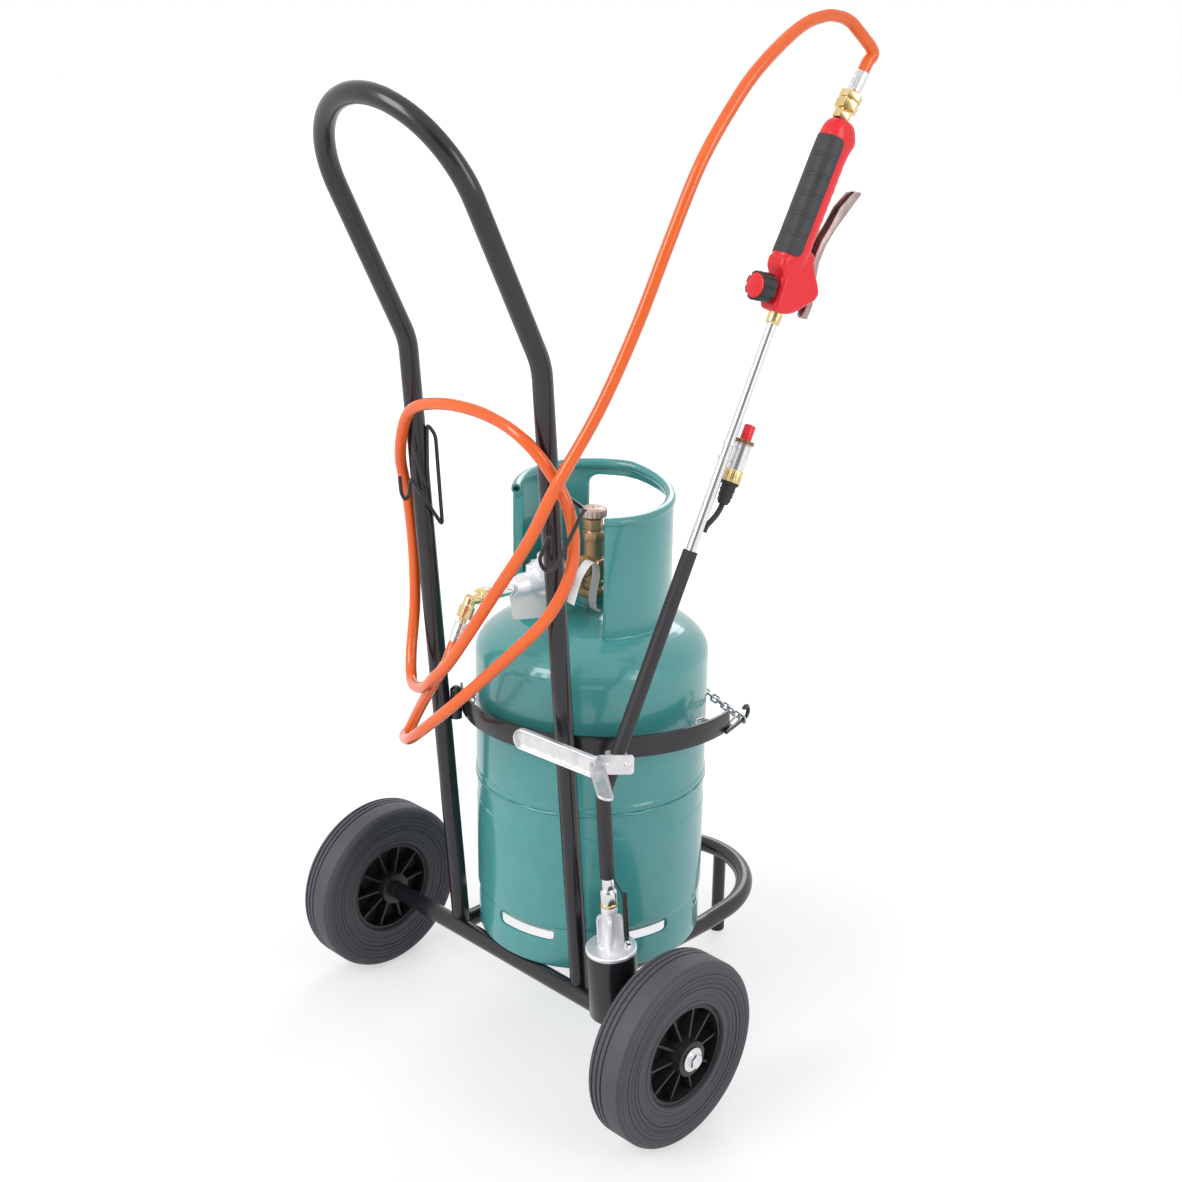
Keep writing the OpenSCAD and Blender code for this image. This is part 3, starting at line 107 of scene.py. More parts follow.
tree.links.new(either.outputs[0], share.inputs[0])
tree.links.new(share.outputs[0], mixed.inputs[0])
tree.links.new(matt.outputs[0], mixed.inputs[1])
tree.links.new(white.outputs[0], mixed.inputs[2])
tree.links.new(mixed.outputs[0], result.inputs["Surface"])
floor.data.materials.append(floor_paint)

# ---------- Light ----------
# A bright white room with a large soft box on each side of the camera and one beyond the
# trolley. In reflections the room is darker around the camera.
room = bpy.data.worlds.new("room")
bpy.context.scene.world = room
room.use_nodes = True
tree = room.node_tree
tree.nodes.clear()
ambient = tree.nodes.new("ShaderNodeBackground")
ambient.inputs["Color"].default_value = (1, 1, 1, 1)
ambient.inputs["Strength"].default_value = 0.6
backdrop = tree.nodes.new("ShaderNodeBackground")
backdrop.inputs["Color"].default_value = (1, 1, 1, 1)
backdrop.inputs["Strength"].default_value = 1
seen = tree.nodes.new("ShaderNodeLightPath")
either = tree.nodes.new("ShaderNodeMath")
either.operation = "MAXIMUM"
either_or = tree.nodes.new("ShaderNodeMath")
either_or.operation = "MAXIMUM"
mixed = tree.nodes.new("ShaderNodeMixShader")
result = tree.nodes.new("ShaderNodeOutputWorld")
compass = tree.nodes.new("ShaderNodeTexCoord")
toward = tree.nodes.new("ShaderNodeVectorMath")
toward.operation = "DOT_PRODUCT"
toward.inputs[1].default_value = (0.69, -0.69, 0.2)
dim = tree.nodes.new("ShaderNodeMapRange")
dim.inputs["From Min"].default_value = 0.8
dim.inputs["From Max"].default_value = 0.97
dim.inputs["To Min"].default_value = 1
dim.inputs["To Max"].default_value = 0.25
tree.links.new(compass.outputs["Generated"], toward.inputs[0])
tree.links.new(toward.outputs["Value"], dim.inputs["Value"])
plain = tree.nodes.new("ShaderNodeMath")
plain.operation = "MAXIMUM"
tree.links.new(dim.outputs["Result"], plain.inputs[0])
tree.links.new(seen.outputs["Is Camera Ray"], plain.inputs[1])
tree.links.new(plain.outputs[0], backdrop.inputs["Strength"])
tree.links.new(seen.outputs["Is Glossy Ray"], either.inputs[0])
tree.links.new(seen.outputs["Is Transmission Ray"], either.inputs[1])
tree.links.new(seen.outputs["Is Camera Ray"], either_or.inputs[0])
tree.links.new(either.outputs[0], either_or.inputs[1])
tree.links.new(either_or.outputs[0], mixed.inputs[0])
tree.links.new(ambient.outputs[0], mixed.inputs[1])
tree.links.new(backdrop.outputs[0], mixed.inputs[2])
tree.links.new(mixed.outputs[0], result.inputs["Surface"])


def soft_box(name, place, power, width, height):
    lamp = bpy.data.lights.new(name, "AREA")
    lamp.shape = "RECTANGLE"
    lamp.size = width
    lamp.size_y = height
    lamp.energy = power
    lamp_object = bpy.data.objects.new(name, lamp)
    lamp_object.location = place
    lamp_object.rotation_euler = (Vector((0, 0, 0.6)) - Vector(place)).to_track_quat("-Z", "Y").to_euler()
    bpy.context.scene.collection.objects.link(lamp_object)


soft_box("key light", (-0.6, -3.4, 2.9), 78, 1.6, 2.4)
soft_box("fill light", (3.6, 0.4, 2.2), 34, 1.4, 2.4)
soft_box("back light", (-1.8, 3.2, 2.8), 40, 2.2, 1.6)
bpy.context.scene.view_settings.view_transform = "Standard"

# ---------- Frame ----------
# 25 mm steel tube, bent and welded, with a satin black powder coat: the handle and its
# uprights, the axle tube and the loop under the cylinder with its capped front leg. The
# band stands off the uprights on two short rods, with its hook welded to one end.
def variation_group():
    """Slow patches, where colour and gloss vary, and a fine grain that breaks up reflections."""
    group = bpy.data.node_groups.new("patches and grain", "ShaderNodeTree")
    sides = group.interface
    for name in ("Patch scale", "Grain scale", "Grain depth"):
        sides.new_socket(name, in_out="INPUT", socket_type="NodeSocketFloat")
    sides.new_socket("Patches", in_out="OUTPUT", socket_type="NodeSocketFloat")
    sides.new_socket("Normal", in_out="OUTPUT", socket_type="NodeSocketVector")
    entry = group.nodes.new("NodeGroupInput")
    leave = group.nodes.new("NodeGroupOutput")
    place = group.nodes.new("ShaderNodeTexCoord")
    patches = group.nodes.new("ShaderNodeTexNoise")
    patches.inputs["Detail"].default_value = 5
    patches.inputs["Roughness"].default_value = 0.6
    spread = group.nodes.new("ShaderNodeMapRange")
    spread.inputs["From Min"].default_value = 0.38
    spread.inputs["From Max"].default_value = 0.68
    grain = group.nodes.new("ShaderNodeTexNoise")
    grain.inputs["Detail"].default_value = 3
    bump = group.nodes.new("ShaderNodeBump")
    bump.inputs["Strength"].default_value = 0.6
    link = group.links.new
    link(place.outputs["Object"], patches.inputs["Vector"])
    link(place.outputs["Object"], grain.inputs["Vector"])
    link(entry.outputs["Patch scale"], patches.inputs["Scale"])
    link(entry.outputs["Grain scale"], grain.inputs["Scale"])
    link(entry.outputs["Grain depth"], bump.inputs["Distance"])
    link(patches.outputs["Fac"], spread.inputs["Value"])
    link(grain.outputs["Fac"], bump.inputs["Height"])
    link(spread.outputs["Result"], leave.inputs["Patches"])
    link(bump.outputs["Normal"], leave.inputs["Normal"])
    return group


variation = variation_group()


def finish(name, colour, other, rough, rough_to, metal=0.0, coat=0.0, patch=12, grain=900, depth=0.0001):
    """A material whose colour and gloss run between two values over its patches."""
    material = bpy.data.materials.new(name)
    material.use_nodes = True
    tree = material.node_tree
    surface = tree.nodes["Principled BSDF"]
    effect = tree.nodes.new("ShaderNodeGroup")
    effect.node_tree = variation
    effect.inputs["Patch scale"].default_value = patch
    effect.inputs["Grain scale"].default_value = grain
    effect.inputs["Grain depth"].default_value = depth
    tint = tree.nodes.new("ShaderNodeMix")
    tint.data_type = "RGBA"
    tint.inputs["A"].default_value = (*colour, 1)
    tint.inputs["B"].default_value = (*other, 1)
    gloss = tree.nodes.new("ShaderNodeMapRange")
    gloss.inputs["To Min"].default_value = rough
    gloss.inputs["To Max"].default_value = rough_to
    surface.inputs["Metallic"].default_value = metal
    surface.inputs["Coat Weight"].default_value = coat
    surface.inputs["Coat Roughness"].default_value = 0.06
    tree.links.new(effect.outputs["Patches"], tint.inputs["Factor"])
    tree.links.new(effect.outputs["Patches"], gloss.inputs["Value"])
    tree.links.new(tint.outputs["Result"], surface.inputs["Base Color"])
    tree.links.new(gloss.outputs["Result"], surface.inputs["Roughness"])
    tree.links.new(effect.outputs["Normal"], surface.inputs["Normal"])
    return material


def dress(material, *names):
    for name in names:
        nodes[name].data.materials.clear()
        nodes[name].data.materials.append(material)


def only(*chosen):
    """Selects these objects alone, the last one active."""
    bpy.ops.object.select_all(action="DESELECT")
    for piece in chosen:
        piece.select_set(True)
    bpy.context.view_layer.objects.active = chosen[-1]


def merged_copy(node, name):
    """A copy of a node with its triangles joined and its flat faces made whole."""
    piece = nodes[node].copy()
    piece.data = nodes[node].data.copy()
    for key in list(piece.keys()):
        del piece[key]
    piece.parent = None
    piece.name = name
    bpy.context.scene.collection.objects.link(piece)
    only(piece)
    bpy.ops.object.mode_set(mode="EDIT")
    bpy.ops.mesh.select_all(action="SELECT")
    bpy.ops.mesh.customdata_custom_splitnormals_clear()
    bpy.ops.mesh.remove_doubles(threshold=0.00001)
    bpy.ops.mesh.dissolve_limited(angle_limit=math.radians(0.6))
    bpy.ops.object.mode_set(mode="OBJECT")
    return piece


body_of = {node: body for body, group in frame["record"]["behaviour"]["bodies"].items() for node in group}


def stands_for(piece, material, slot, *names):
    piece.data.materials.clear()
    piece.data.materials.append(material)
    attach(piece, body_of[names[0]])
    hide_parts(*names)
    return piece


def apply_all(piece):
    only(piece)
    for modifier in list(piece.modifiers):
        bpy.ops.object.modifier_apply(modifier=modifier.name)


def eased(piece, width, segments, angle):
    """Breaks the edges sharper than an angle with a small bevel."""
    edge = piece.modifiers.new("eased edges", "BEVEL")
    edge.width = width
    edge.segments = segments
    edge.limit_method = "ANGLE"
    edge.angle_limit = math.radians(angle)
    apply_all(piece)


def machined(node, name, width, material, slot, angle=32):
    """The node with its sharp edges broken by a small bevel."""
    piece = merged_copy(node, name)
    eased(piece, width, 2, angle)
    bpy.ops.object.shade_smooth_by_angle(angle=math.radians(angle))
    return stands_for(piece, material, slot, node)


frame_coat = finish(
    "black powder coat", (0.010, 0.009, 0.012), (0.016, 0.014, 0.018), 0.2, 0.28, coat=0.25, grain=500,
    depth=0.00005
)
dress(frame_coat, "handle_frame", "axle_tube", "base_loop", "front_leg", "band_hook")
for node in ("cylinder_band", "band_lugs", "torch_holder"):
    machined(node, node + "_coated", 0.0006, frame_coat, "frame_black")
cap_rubber = finish("leg cap", (0.012, 0.012, 0.013), (0.02, 0.02, 0.021), 0.5, 0.65)
machined("leg_cap", "leg_cap_moulded", 0.0008, cap_rubber, "cap_black")

# ---------- Hose hooks ----------
# Two hooks of 5 mm wire, bent cold and welded to the uprights, with the same powder
# coat as the frame.
def rounded(points, radius, steps=5):
    """The points of a bent wire, with a curve in place of each corner."""
    path = [points[0]]
    for before, corner, after in zip(points, points[1:], points[2:]):
        room = min(radius, 0.45 * (corner - before).length, 0.45 * (after - corner).length)
        enter = corner + (before - corner).normalized() * room
        leave = corner + (after - corner).normalized() * room
        for step in range(steps + 1):
            t = step / steps
            path.append((1 - t) ** 2 * enter + 2 * t * (1 - t) * corner + t * t * leave)
    return path + [points[-1]]


def tube_along(name, path, diameter, sides=8, closed=False):
    """A round tube along a path, made as a curve and turned into a mesh."""
    curve = bpy.data.curves.new(name, "CURVE")
    curve.dimensions = "3D"
    curve.bevel_depth = diameter / 2
    curve.bevel_resolution = sides
    curve.use_fill_caps = not closed
    line = curve.splines.new("POLY")
    line.points.add(len(path) - 1)
    for point, place in zip(line.points, path):
        point.co = (*place, 1)
    line.use_cyclic_u = closed
    line.use_smooth = True
    piece = bpy.data.objects.new(name, curve)
    bpy.context.scene.collection.objects.link(piece)
    bpy.ops.object.select_all(action="DESELECT")
    piece.select_set(True)
    bpy.context.view_layer.objects.active = piece
    bpy.ops.object.convert(target="MESH")
    return bpy.context.object


axle_y, axle_height = -0.104945, 0.125
at_axle = Matrix.Translation((0, axle_y, 0))
hook_bends = {
    "hose_hook_left": (
        (-103, -74, 846), (-107, -48, 781), (-109, -45, 866), (-107, -33, 850), (-105, -26, 729),
        (-108, -74, 801), (-106, -78, 780), (-105, -86, 774), (-105, -92, 784), (-106, -93, 806),
    ),
    "hose_hook_right": (
        (128, -42, 823), (146, -40, 818), (168, -40, 811), (178, -46, 812), (180, -52, 812),
        (156, -71, 744), (149, -71, 736), (140, -70, 734), (131, -70, 736), (126, -70, 746),
        (142, -70, 777),
    ),
}
for node, bends in hook_bends.items():
    wire = rounded([at_axle @ (Vector(p) / 1000) for p in bends], 0.008)
    hook = tube_along(node + "_wire", wire, 0.005, 5)
    bpy.ops.object.shade_smooth_by_angle(angle=math.radians(50))
    stands_for(hook, frame_coat, "frame_black", node)

# ---------- Wheels ----------
# Solid rubber tyres with stepped rings on their walls and three grooves in the tread,
# pressed on to ribbed black plastic hubs. They turn on a plated rod, between washers and
# end bolts.
def traced(name, points):
    """A line of edges drawn point by point from one corner."""
    bpy.ops.object.select_all(action="DESELECT")
    bpy.ops.mesh.primitive_plane_add(size=0.001)
    piece = bpy.context.object
    piece.name = name
    bpy.ops.object.mode_set(mode="EDIT")
    bpy.ops.mesh.select_all(action="SELECT")
    bpy.ops.mesh.merge(type="CENTER")
    bpy.ops.transform.translate(value=points[0])
    for start, stop in zip(points, points[1:]):
        bpy.ops.mesh.extrude_region_move(TRANSFORM_OT_translate={"value": Vector(stop) - Vector(start)})
    return piece


merge_gap = 0.000002


def turned(name, outline, steps=64):
    """A piece turned on a lathe: its half outline, as radius and height, spun round Z."""
    piece = traced(name, [(r, 0, z) for r, z in outline])
    bpy.ops.mesh.select_all(action="SELECT")
    bpy.ops.mesh.spin(steps=steps, angle=2 * math.pi, center=(0, 0, 0), axis=(0, 0, 1))
    bpy.ops.mesh.select_all(action="SELECT")
    bpy.ops.mesh.remove_doubles(threshold=merge_gap)
    bpy.ops.mesh.normals_make_consistent(inside=False)
    bpy.ops.object.mode_set(mode="OBJECT")
    return piece


def seated(piece, place):
    """Puts a piece made at the origin in its place, in its mesh."""
    piece.matrix_world = place
    only(piece)
    bpy.ops.object.transform_apply(location=True, rotation=True, scale=True)
    return piece


def joined(name, *pieces):
    only(*pieces)
    bpy.ops.object.join()
    bpy.context.object.name = name
    return bpy.context.object


def creased(piece, angle=32):
    only(piece)
    bpy.ops.object.shade_smooth_by_angle(angle=math.radians(angle))
    return piece


tyre_rubber = finish("tyre rubber", (0.05, 0.047, 0.06), (0.07, 0.067, 0.082), 0.5, 0.7, grain=1200)
# Painted highlight: fine pale rings about the wheel's axle, standing in for light caught on the edges of the
# wall's rings
tree = tyre_rubber.node_tree
spot = tree.nodes.new("ShaderNodeTexCoord")
hub_centre = tree.nodes.new("ShaderNodeMapping")
hub_centre.inputs["Location"].default_value = (0, -axle_y, -axle_height)
ring_highlight_lines = tree.nodes.new("ShaderNodeTexWave")
ring_highlight_lines.wave_type = "RINGS"
ring_highlight_lines.rings_direction = "X"
ring_highlight_lines.inputs["Scale"].default_value = 72
ring_highlight_lines.inputs["Distortion"].default_value = 0.6
ring_highlight_lines.inputs["Detail"].default_value = 3
highlight_share = tree.nodes.new("ShaderNodeMapRange")
highlight_share.inputs["From Min"].default_value = 0.72
highlight_share.inputs["To Max"].default_value = 0.28
# Mixes the painted ring highlights into the rubber's colour
ring_highlight_tint = tree.nodes.new("ShaderNodeMix")
ring_highlight_tint.data_type = "RGBA"
ring_highlight_tint.inputs["B"].default_value = (0.15, 0.145, 0.165, 1)
tint = next(n for n in tree.nodes if n.type == "MIX" and n != ring_highlight_tint)
tree.links.new(spot.outputs["Object"], hub_centre.inputs["Vector"])
tree.links.new(hub_centre.outputs["Vector"], ring_highlight_lines.inputs["Vector"])
tree.links.new(ring_highlight_lines.outputs["Fac"], highlight_share.inputs["Value"])
tree.links.new(highlight_share.outputs["Result"], ring_highlight_tint.inputs["Factor"])
tree.links.new(tint.outputs["Result"], ring_highlight_tint.inputs["A"])
tree.links.new(ring_highlight_tint.outputs["Result"], tree.nodes["Principled BSDF"].inputs["Base Color"])
hub_plastic = finish("hub plastic", (0.011, 0.011, 0.012), (0.018, 0.018, 0.02), 0.32, 0.5)
zinc = finish(
    "zinc plate", (0.86, 0.86, 0.88), (0.74, 0.74, 0.76), 0.12, 0.24, metal=1, patch=30, grain=300,
    depth=0.00001
)
rings = (
    (67.5, 22), (69, 26.2), (70.5, 27), (73.2, 27), (74.2, 25.8), (80, 25.8), (81, 27.2), (86, 27.6),
    (86.7, 28.6), (90.4, 28.6), (91, 27.7), (92.6, 27.7), (93.2, 29.3), (96.4, 29.3), (97, 28.4),
    (98.6, 28.4), (99.2, 29.8), (102.4, 29.8), (103, 28.9), (104.6, 28.9), (105.2, 29.6), (108.4, 29.4),
    (109, 28.4), (110.4, 28.2), (111, 29), (112.6, 28.8),
)
shoulder = tuple(
    (113.4 + 11.4 * math.sin(math.radians(a)), 18.6 + 10.4 * math.cos(math.radians(a)))
    for a in (8, 26, 44, 62, 80)
)
tread = tuple(
    (r, g + w)
    for g in (-3, -10.5, -18)
    for r, w in ((124.8, 1.6), (124.4, 1.3), (123, 1), (123, -1), (124.4, -1.3), (124.8, -1.6))
)
wall = rings + shoulder
tyre_outline = wall + tread + tuple((r, -x) for r, x in reversed(wall)) + (wall[0],)
wheel_out, washer_out = 0.2953, 0.33
for side, way in (("left", -1), ("right", 1)):
    tyre = turned(side + "_solid_tyre", [(r / 1000, x / 1000) for r, x in tyre_outline], 96)
    seated(
        tyre,
        Matrix.Translation((way * wheel_out, axle_y, axle_height))
        @ Matrix.Rotation(math.radians(90), 4, "Y")
    )
    stands_for(creased(tyre, 24), tyre_rubber, "tyre_rubber", "tyre_" + side)
    machined("hub_" + side, side + "_ribbed_hub", 0.0008, hub_plastic, "hub_black")


def plated(*names):
    """Small steel parts with a bright zinc plate, their edges barely broken."""
    for node in names:
        machined(node, node + "_plated", 0.0003, zinc, "zinc_steel")


plated("axle_rod", "axle_bolts")
washer_outline = (
    (0.0055, 0), (0.0145, 0), (0.0158, 0.0006), (0.0158, 0.0019), (0.0148, 0.0025), (0.0055, 0.0025),
    (0.0055, 0)
)
washers = []
for way in (-1, 1):
    washer = turned("axle_washer", washer_outline, 48)
    washers.append(
        seated(
            washer,
            Matrix.Translation((way * washer_out, axle_y, axle_height))
            @ Matrix.Rotation(math.radians(way * 90), 4, "Y")
        )
    )
stands_for(creased(joined("axle_washers_plated", *washers)), zinc, "zinc_steel", "axle_washers")

# ---------- Gas cylinder ----------
# A welded steel cylinder in teal gloss paint, with a foot ring, a rolled guard and a boss
# for the valve.
teal = finish(
    "teal gloss paint", (0.07, 0.345, 0.338), (0.054, 0.3, 0.296), 0.2, 0.3, coat=0.6, patch=7, grain=60,
    depth=0.0004
)
dress(teal, "cylinder_shell")
for node in ("foot_ring", "valve_bung"):
    machined(node, node + "_painted", 0.0008, teal, "cylinder_teal")

# ---------- Chain ----------
# Plated steel links that keep the cylinder in. They run from the hook at the band's right
# end round the front of the cylinder to the band's left end. A loose end hangs inside.
dress(finish("chain steel", (0.55, 0.55, 0.56), (0.4, 0.4, 0.42), 0.22, 0.4, metal=1, patch=60), "chain")

# ---------- Guard collar ----------
# 3 mm sheet rolled round the valve and welded to the dome, with a rolled rim, a hand
# hole in front and its two ends folded in. The rim slopes down to the open side.
cylinder_y = 0.040555
at_cylinder = Matrix.Translation((0, cylinder_y, 0))
collar_foot = 0.5467
roll_r, roll_mid, roll_z = 0.007, 0.1016, 0.7777
first, last = -36.8, 228.2
collar_in, collar_out, collar_low = 0.1032, 0.1062, 0.585
section = [(collar_in, collar_low), (collar_in, 0.7711)]
section += [
    (roll_mid + roll_r * math.cos(math.radians(a)), roll_z + roll_r * math.sin(math.radians(a)))
    for a in range(-75, -406, -15)
]
section += [(collar_out, 0.7724), (collar_out, collar_low), (collar_in, collar_low)]
way = Vector((math.cos(math.radians(first)), math.sin(math.radians(first)), 0))
collar = traced("collar_rolled", [tuple(r * way + Vector((0, 0, z))) for r, z in section])
bpy.ops.mesh.select_all(action="SELECT")
bpy.ops.mesh.spin(steps=132, angle=math.radians(first - last), center=(0, 0, 0), axis=(0, 0, 1))
bpy.ops.mesh.select_all(action="SELECT")
bpy.ops.mesh.remove_doubles(threshold=merge_gap)
bpy.ops.mesh.fill_holes(sides=0)
bpy.ops.mesh.select_all(action="SELECT")
bpy.ops.mesh.normals_make_consistent(inside=False)
bpy.ops.object.mode_set(mode="OBJECT")


def raised(name, outline, height):
    """A closed outline in mm, filled and raised along Z."""
    piece = traced(name, [(x / 1000, y / 1000, 0) for x, y in (*outline, outline[0])])
    bpy.ops.mesh.select_all(action="SELECT")
    bpy.ops.mesh.remove_doubles(threshold=merge_gap)
    bpy.ops.mesh.select_all(action="SELECT")
    bpy.ops.mesh.edge_face_add()
    bpy.ops.mesh.extrude_region_move(TRANSFORM_OT_translate={"value": (0, 0, height / 1000)})
    bpy.ops.mesh.select_all(action="SELECT")
    bpy.ops.mesh.normals_make_consistent(inside=False)
    bpy.ops.object.mode_set(mode="OBJECT")
    return piece


def cut(piece, tool, way="DIFFERENCE"):
    knife = piece.modifiers.new("cut", "BOOLEAN")
    knife.operation = way
    knife.solver = "EXACT"
    knife.object = tool
    apply_all(piece)
    bpy.data.objects.remove(tool)


def soft_corners(wide, high, radius):
    """The outline of a plate with round corners, about its middle, in mm."""
    return [
        (
            sx * (wide / 2 - radius) + radius * math.cos(math.radians(a)),
            sy * (high / 2 - radius) + radius * math.sin(math.radians(a))
        )
        for sx, sy, start in ((1, 1, 0), (-1, 1, 90), (-1, -1, 180), (1, -1, 270))
        for a in range(start, start + 91, 15)
    ]


for end, tilt in ((first, -90), (last, 90)):
    bore = turned("roll_bore", ((0, -0.001), (0.0046, -0.001), (0.0046, 0.014), (0, 0.014)), 32)
    cut(
        collar,
        seated(
            bore,
            Matrix.Rotation(math.radians(end), 4, "Z")
            @ Matrix.Translation((roll_mid, 0, roll_z))
            @ Matrix.Rotation(math.radians(tilt), 4, "X")
        )
    )
hole_turn = math.radians(96)
outward = Vector((math.cos(hole_turn), math.sin(hole_turn), 0))
sideways = Vector((0, 0, 1)).cross(outward)
hole_place = (
    Matrix.Translation(outward * 0.06 + Vector((0, 0, 0.725)))
    @ Matrix((sideways, (0, 0, 1), outward)).transposed().to_4x4()
)
cut(collar, seated(raised("hand_hole", soft_corners(142, 72, 12), 70), hole_place))
folds = []
for end, inset in ((first, 0.0017), (last, -0.0017)):
    bpy.ops.object.select_all(action="DESELECT")
    bpy.ops.mesh.primitive_cube_add(size=1)
    fold = bpy.context.object
    fold.scale = (0.0105, 0.0028, 0.18)
    fold.location = (0.0992, inset, 0.675)
    only(fold)
    bpy.ops.object.transform_apply(location=True, rotation=True, scale=True)
    folds.append(seated(fold, Matrix.Rotation(math.radians(end), 4, "Z")))
collar = joined("collar_rolled", *folds, collar)
eased(collar, 0.0007, 2, 50)
for corner in collar.data.vertices:
    turn = math.degrees(math.atan2(corner.co.y, corner.co.x)) % 360
    turn = turn - 360 if turn > 300 else turn
    lower = 0.0
    if turn < 105:
        lower = 0.028 * math.sin(math.radians(min(90, 99 * (105 - turn) / 142)))
    elif turn > 145:
        lower = 0.010 * (1 - math.cos(math.radians(min(90, 90 * (turn - 145) / 84))))
    corner.co.z -= lower * max(0, corner.co.z - collar_foot) / 0.238
stands_for(creased(seated(collar, at_cylinder), 40), teal, "cylinder_teal", "guard_collar")


def rides(piece, material, body):
    """For a piece that stands for no node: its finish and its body."""
    piece.data.materials.append(material)
    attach(piece, body)


def weld(name, path, width, material, node, closed=False):
    """A weld bead with the ripples of its passes, laid over a node that stays."""
    bead = tube_along(name, path, width, 3, closed)
    rides(bead, material, body_of[node])


def ring_path(radius, height, start=0, stop=360, step=3, wander=0.0004):
    return [
        Vector((radius * math.cos(math.radians(a)), cylinder_y + radius * math.sin(math.radians(a)), height))
        + Vector((0, 0, wander * math.sin(a * 1.7) + 0.6 * wander * math.sin(a * 0.61)))
        for a in range(start, stop, step)
    ]


dome_top, shell_radius = 0.6107, 0.1583


def dome_height(radius):
    return collar_foot + (dome_top - collar_foot) * math.sqrt(1 - (radius / shell_radius) ** 2)


weld(
    "collar_weld", ring_path(0.1058, dome_height(0.1058), -36, 228), 0.005, teal,
    "cylinder_shell"
)
weld(
    "bung_weld", ring_path(0.0215, dome_height(0.0215), wander=0.0002), 0.004, teal,
    "cylinder_shell", True
)
weld(
    "girth_weld", ring_path(0.1578, 0.3688, wander=0.0008), 0.0046, teal, "cylinder_shell",
    True
)

# ---------- Valve and regulator ----------
# A brass valve, dulled by handling, with a cast handwheel on its spindle, a die-cast
# regulator screwed to its outlet and a polished brass elbow.
def moulded(node, name, voxel, rounds, material, slot):
    """The node with every edge and corner run out, as casting or moulding leaves it."""
    piece = merged_copy(node, name)
    skin = piece.modifiers.new("skin", "REMESH")
    skin.mode = "VOXEL"
    skin.voxel_size = voxel
    skin.use_smooth_shade = True
    soft = piece.modifiers.new("soft edges", "SMOOTH")
    soft.factor = 0.5
    soft.iterations = rounds
    apply_all(piece)
    bpy.ops.object.shade_smooth()
    return stands_for(piece, material, slot, node)


dull_brass = finish("dull brass", (0.6, 0.39, 0.22), (0.42, 0.26, 0.14), 0.38, 0.54, metal=0.7, patch=40)
moulded("valve_body", "valve_forging", 0.0007, 6, dull_brass, "valve_brass")
for node in ("valve_gland", "regulator_nut"):
    machined(node, node + "_turned", 0.0005, dull_brass, "valve_brass")


def hexagon(across_flats):
    reach = across_flats / 2 / math.cos(math.radians(30))
    return [
        (reach * math.cos(math.radians(a)), reach * math.sin(math.radians(a))) for a in range(30, 390, 60)
    ]


nuts = (
    (
        "outlet_collar", 29, 13,
        Matrix.Translation((0, -0.0125, 0.6637)) @ Matrix.Rotation(math.radians(90), 4, "X")
    ),
    ("spindle_nut", 27, 11, Matrix.Translation((0, 0, 0.6985))),
    (
        "safety_plug", 19, 6,
        Matrix.Translation((0.0115, 0, 0.6637)) @ Matrix.Rotation(math.radians(90), 4, "Y")
    ),
    ("body_waist", 26, 7, Matrix.Translation((0, 0, 0.6345))),
)
for name, flats, height, place in nuts:
    nut = seated(raised(name, hexagon(flats), height), at_cylinder @ place)
    edge = nut.modifiers.new("chamfer", "BEVEL")
    edge.width = 0.0009
    edge.segments = 2
    apply_all(nut)
    rides(creased(nut, 35), dull_brass, "frame")
wheel_metal = finish("handwheel metal", (0.7, 0.52, 0.46), (0.57, 0.41, 0.36), 0.4, 0.55, metal=0.6, patch=40)


def fluted(name, radius, deep, count, height, soft):
    """A knob with rounded flutes round its edge, drawn as an outline and raised."""
    around = [
        (radius - deep * max(0, math.cos(math.radians(count * a))) ** 2) for a in range(0, 360, 3)
    ]
    outline = [
        (r * math.cos(math.radians(3 * i)), r * math.sin(math.radians(3 * i)), 0)
        for i, r in enumerate(around)
    ]
    piece = traced(name, outline + [outline[0]])
    bpy.ops.mesh.select_all(action="SELECT")
    bpy.ops.mesh.remove_doubles(threshold=merge_gap)
    bpy.ops.mesh.select_all(action="SELECT")
    bpy.ops.mesh.edge_face_add()
    bpy.ops.mesh.extrude_region_move(TRANSFORM_OT_translate={"value": (0, 0, height)})
    bpy.ops.mesh.select_all(action="SELECT")
    bpy.ops.mesh.normals_make_consistent(inside=False)
    bpy.ops.object.mode_set(mode="OBJECT")
    eased(piece, soft, 3, 50)
    return piece


rim = seated(
    fluted("handwheel_rim", 0.0185, 0.0011, 16, 0.0105, 0.0016),
    at_cylinder @ Matrix.Translation((0, 0, 0.7312))
)
crown = turned(
    "handwheel_crown",
    (
        (0, 0.7405), (0.0155, 0.7405), (0.0155, 0.7422), (0.014, 0.7431), (0.0062, 0.7431),
        (0.0058, 0.7425), (0.0052, 0.7425), (0.005, 0.743), (0.0026, 0.743), (0.0024, 0.7395), (0, 0.7395)
    ),
    48
)
seated(crown, at_cylinder)
spindle = seated(
    turned("handwheel_spindle", ((0, 0.721), (0.0034, 0.721), (0.0034, 0.732), (0, 0.732)), 32), at_cylinder
)
stands_for(
    creased(joined("handwheel_cast", rim, crown, spindle)), wheel_metal, "valve_brass", "valve_handwheel"
)
bright_brass = finish("polished brass", (0.86, 0.68, 0.38), (0.74, 0.54, 0.26), 0.14, 0.26, metal=1, patch=50)


def polished(*names):
    for node in names:
        machined(node, node + "_polished", 0.0005, bright_brass, "bright_brass")


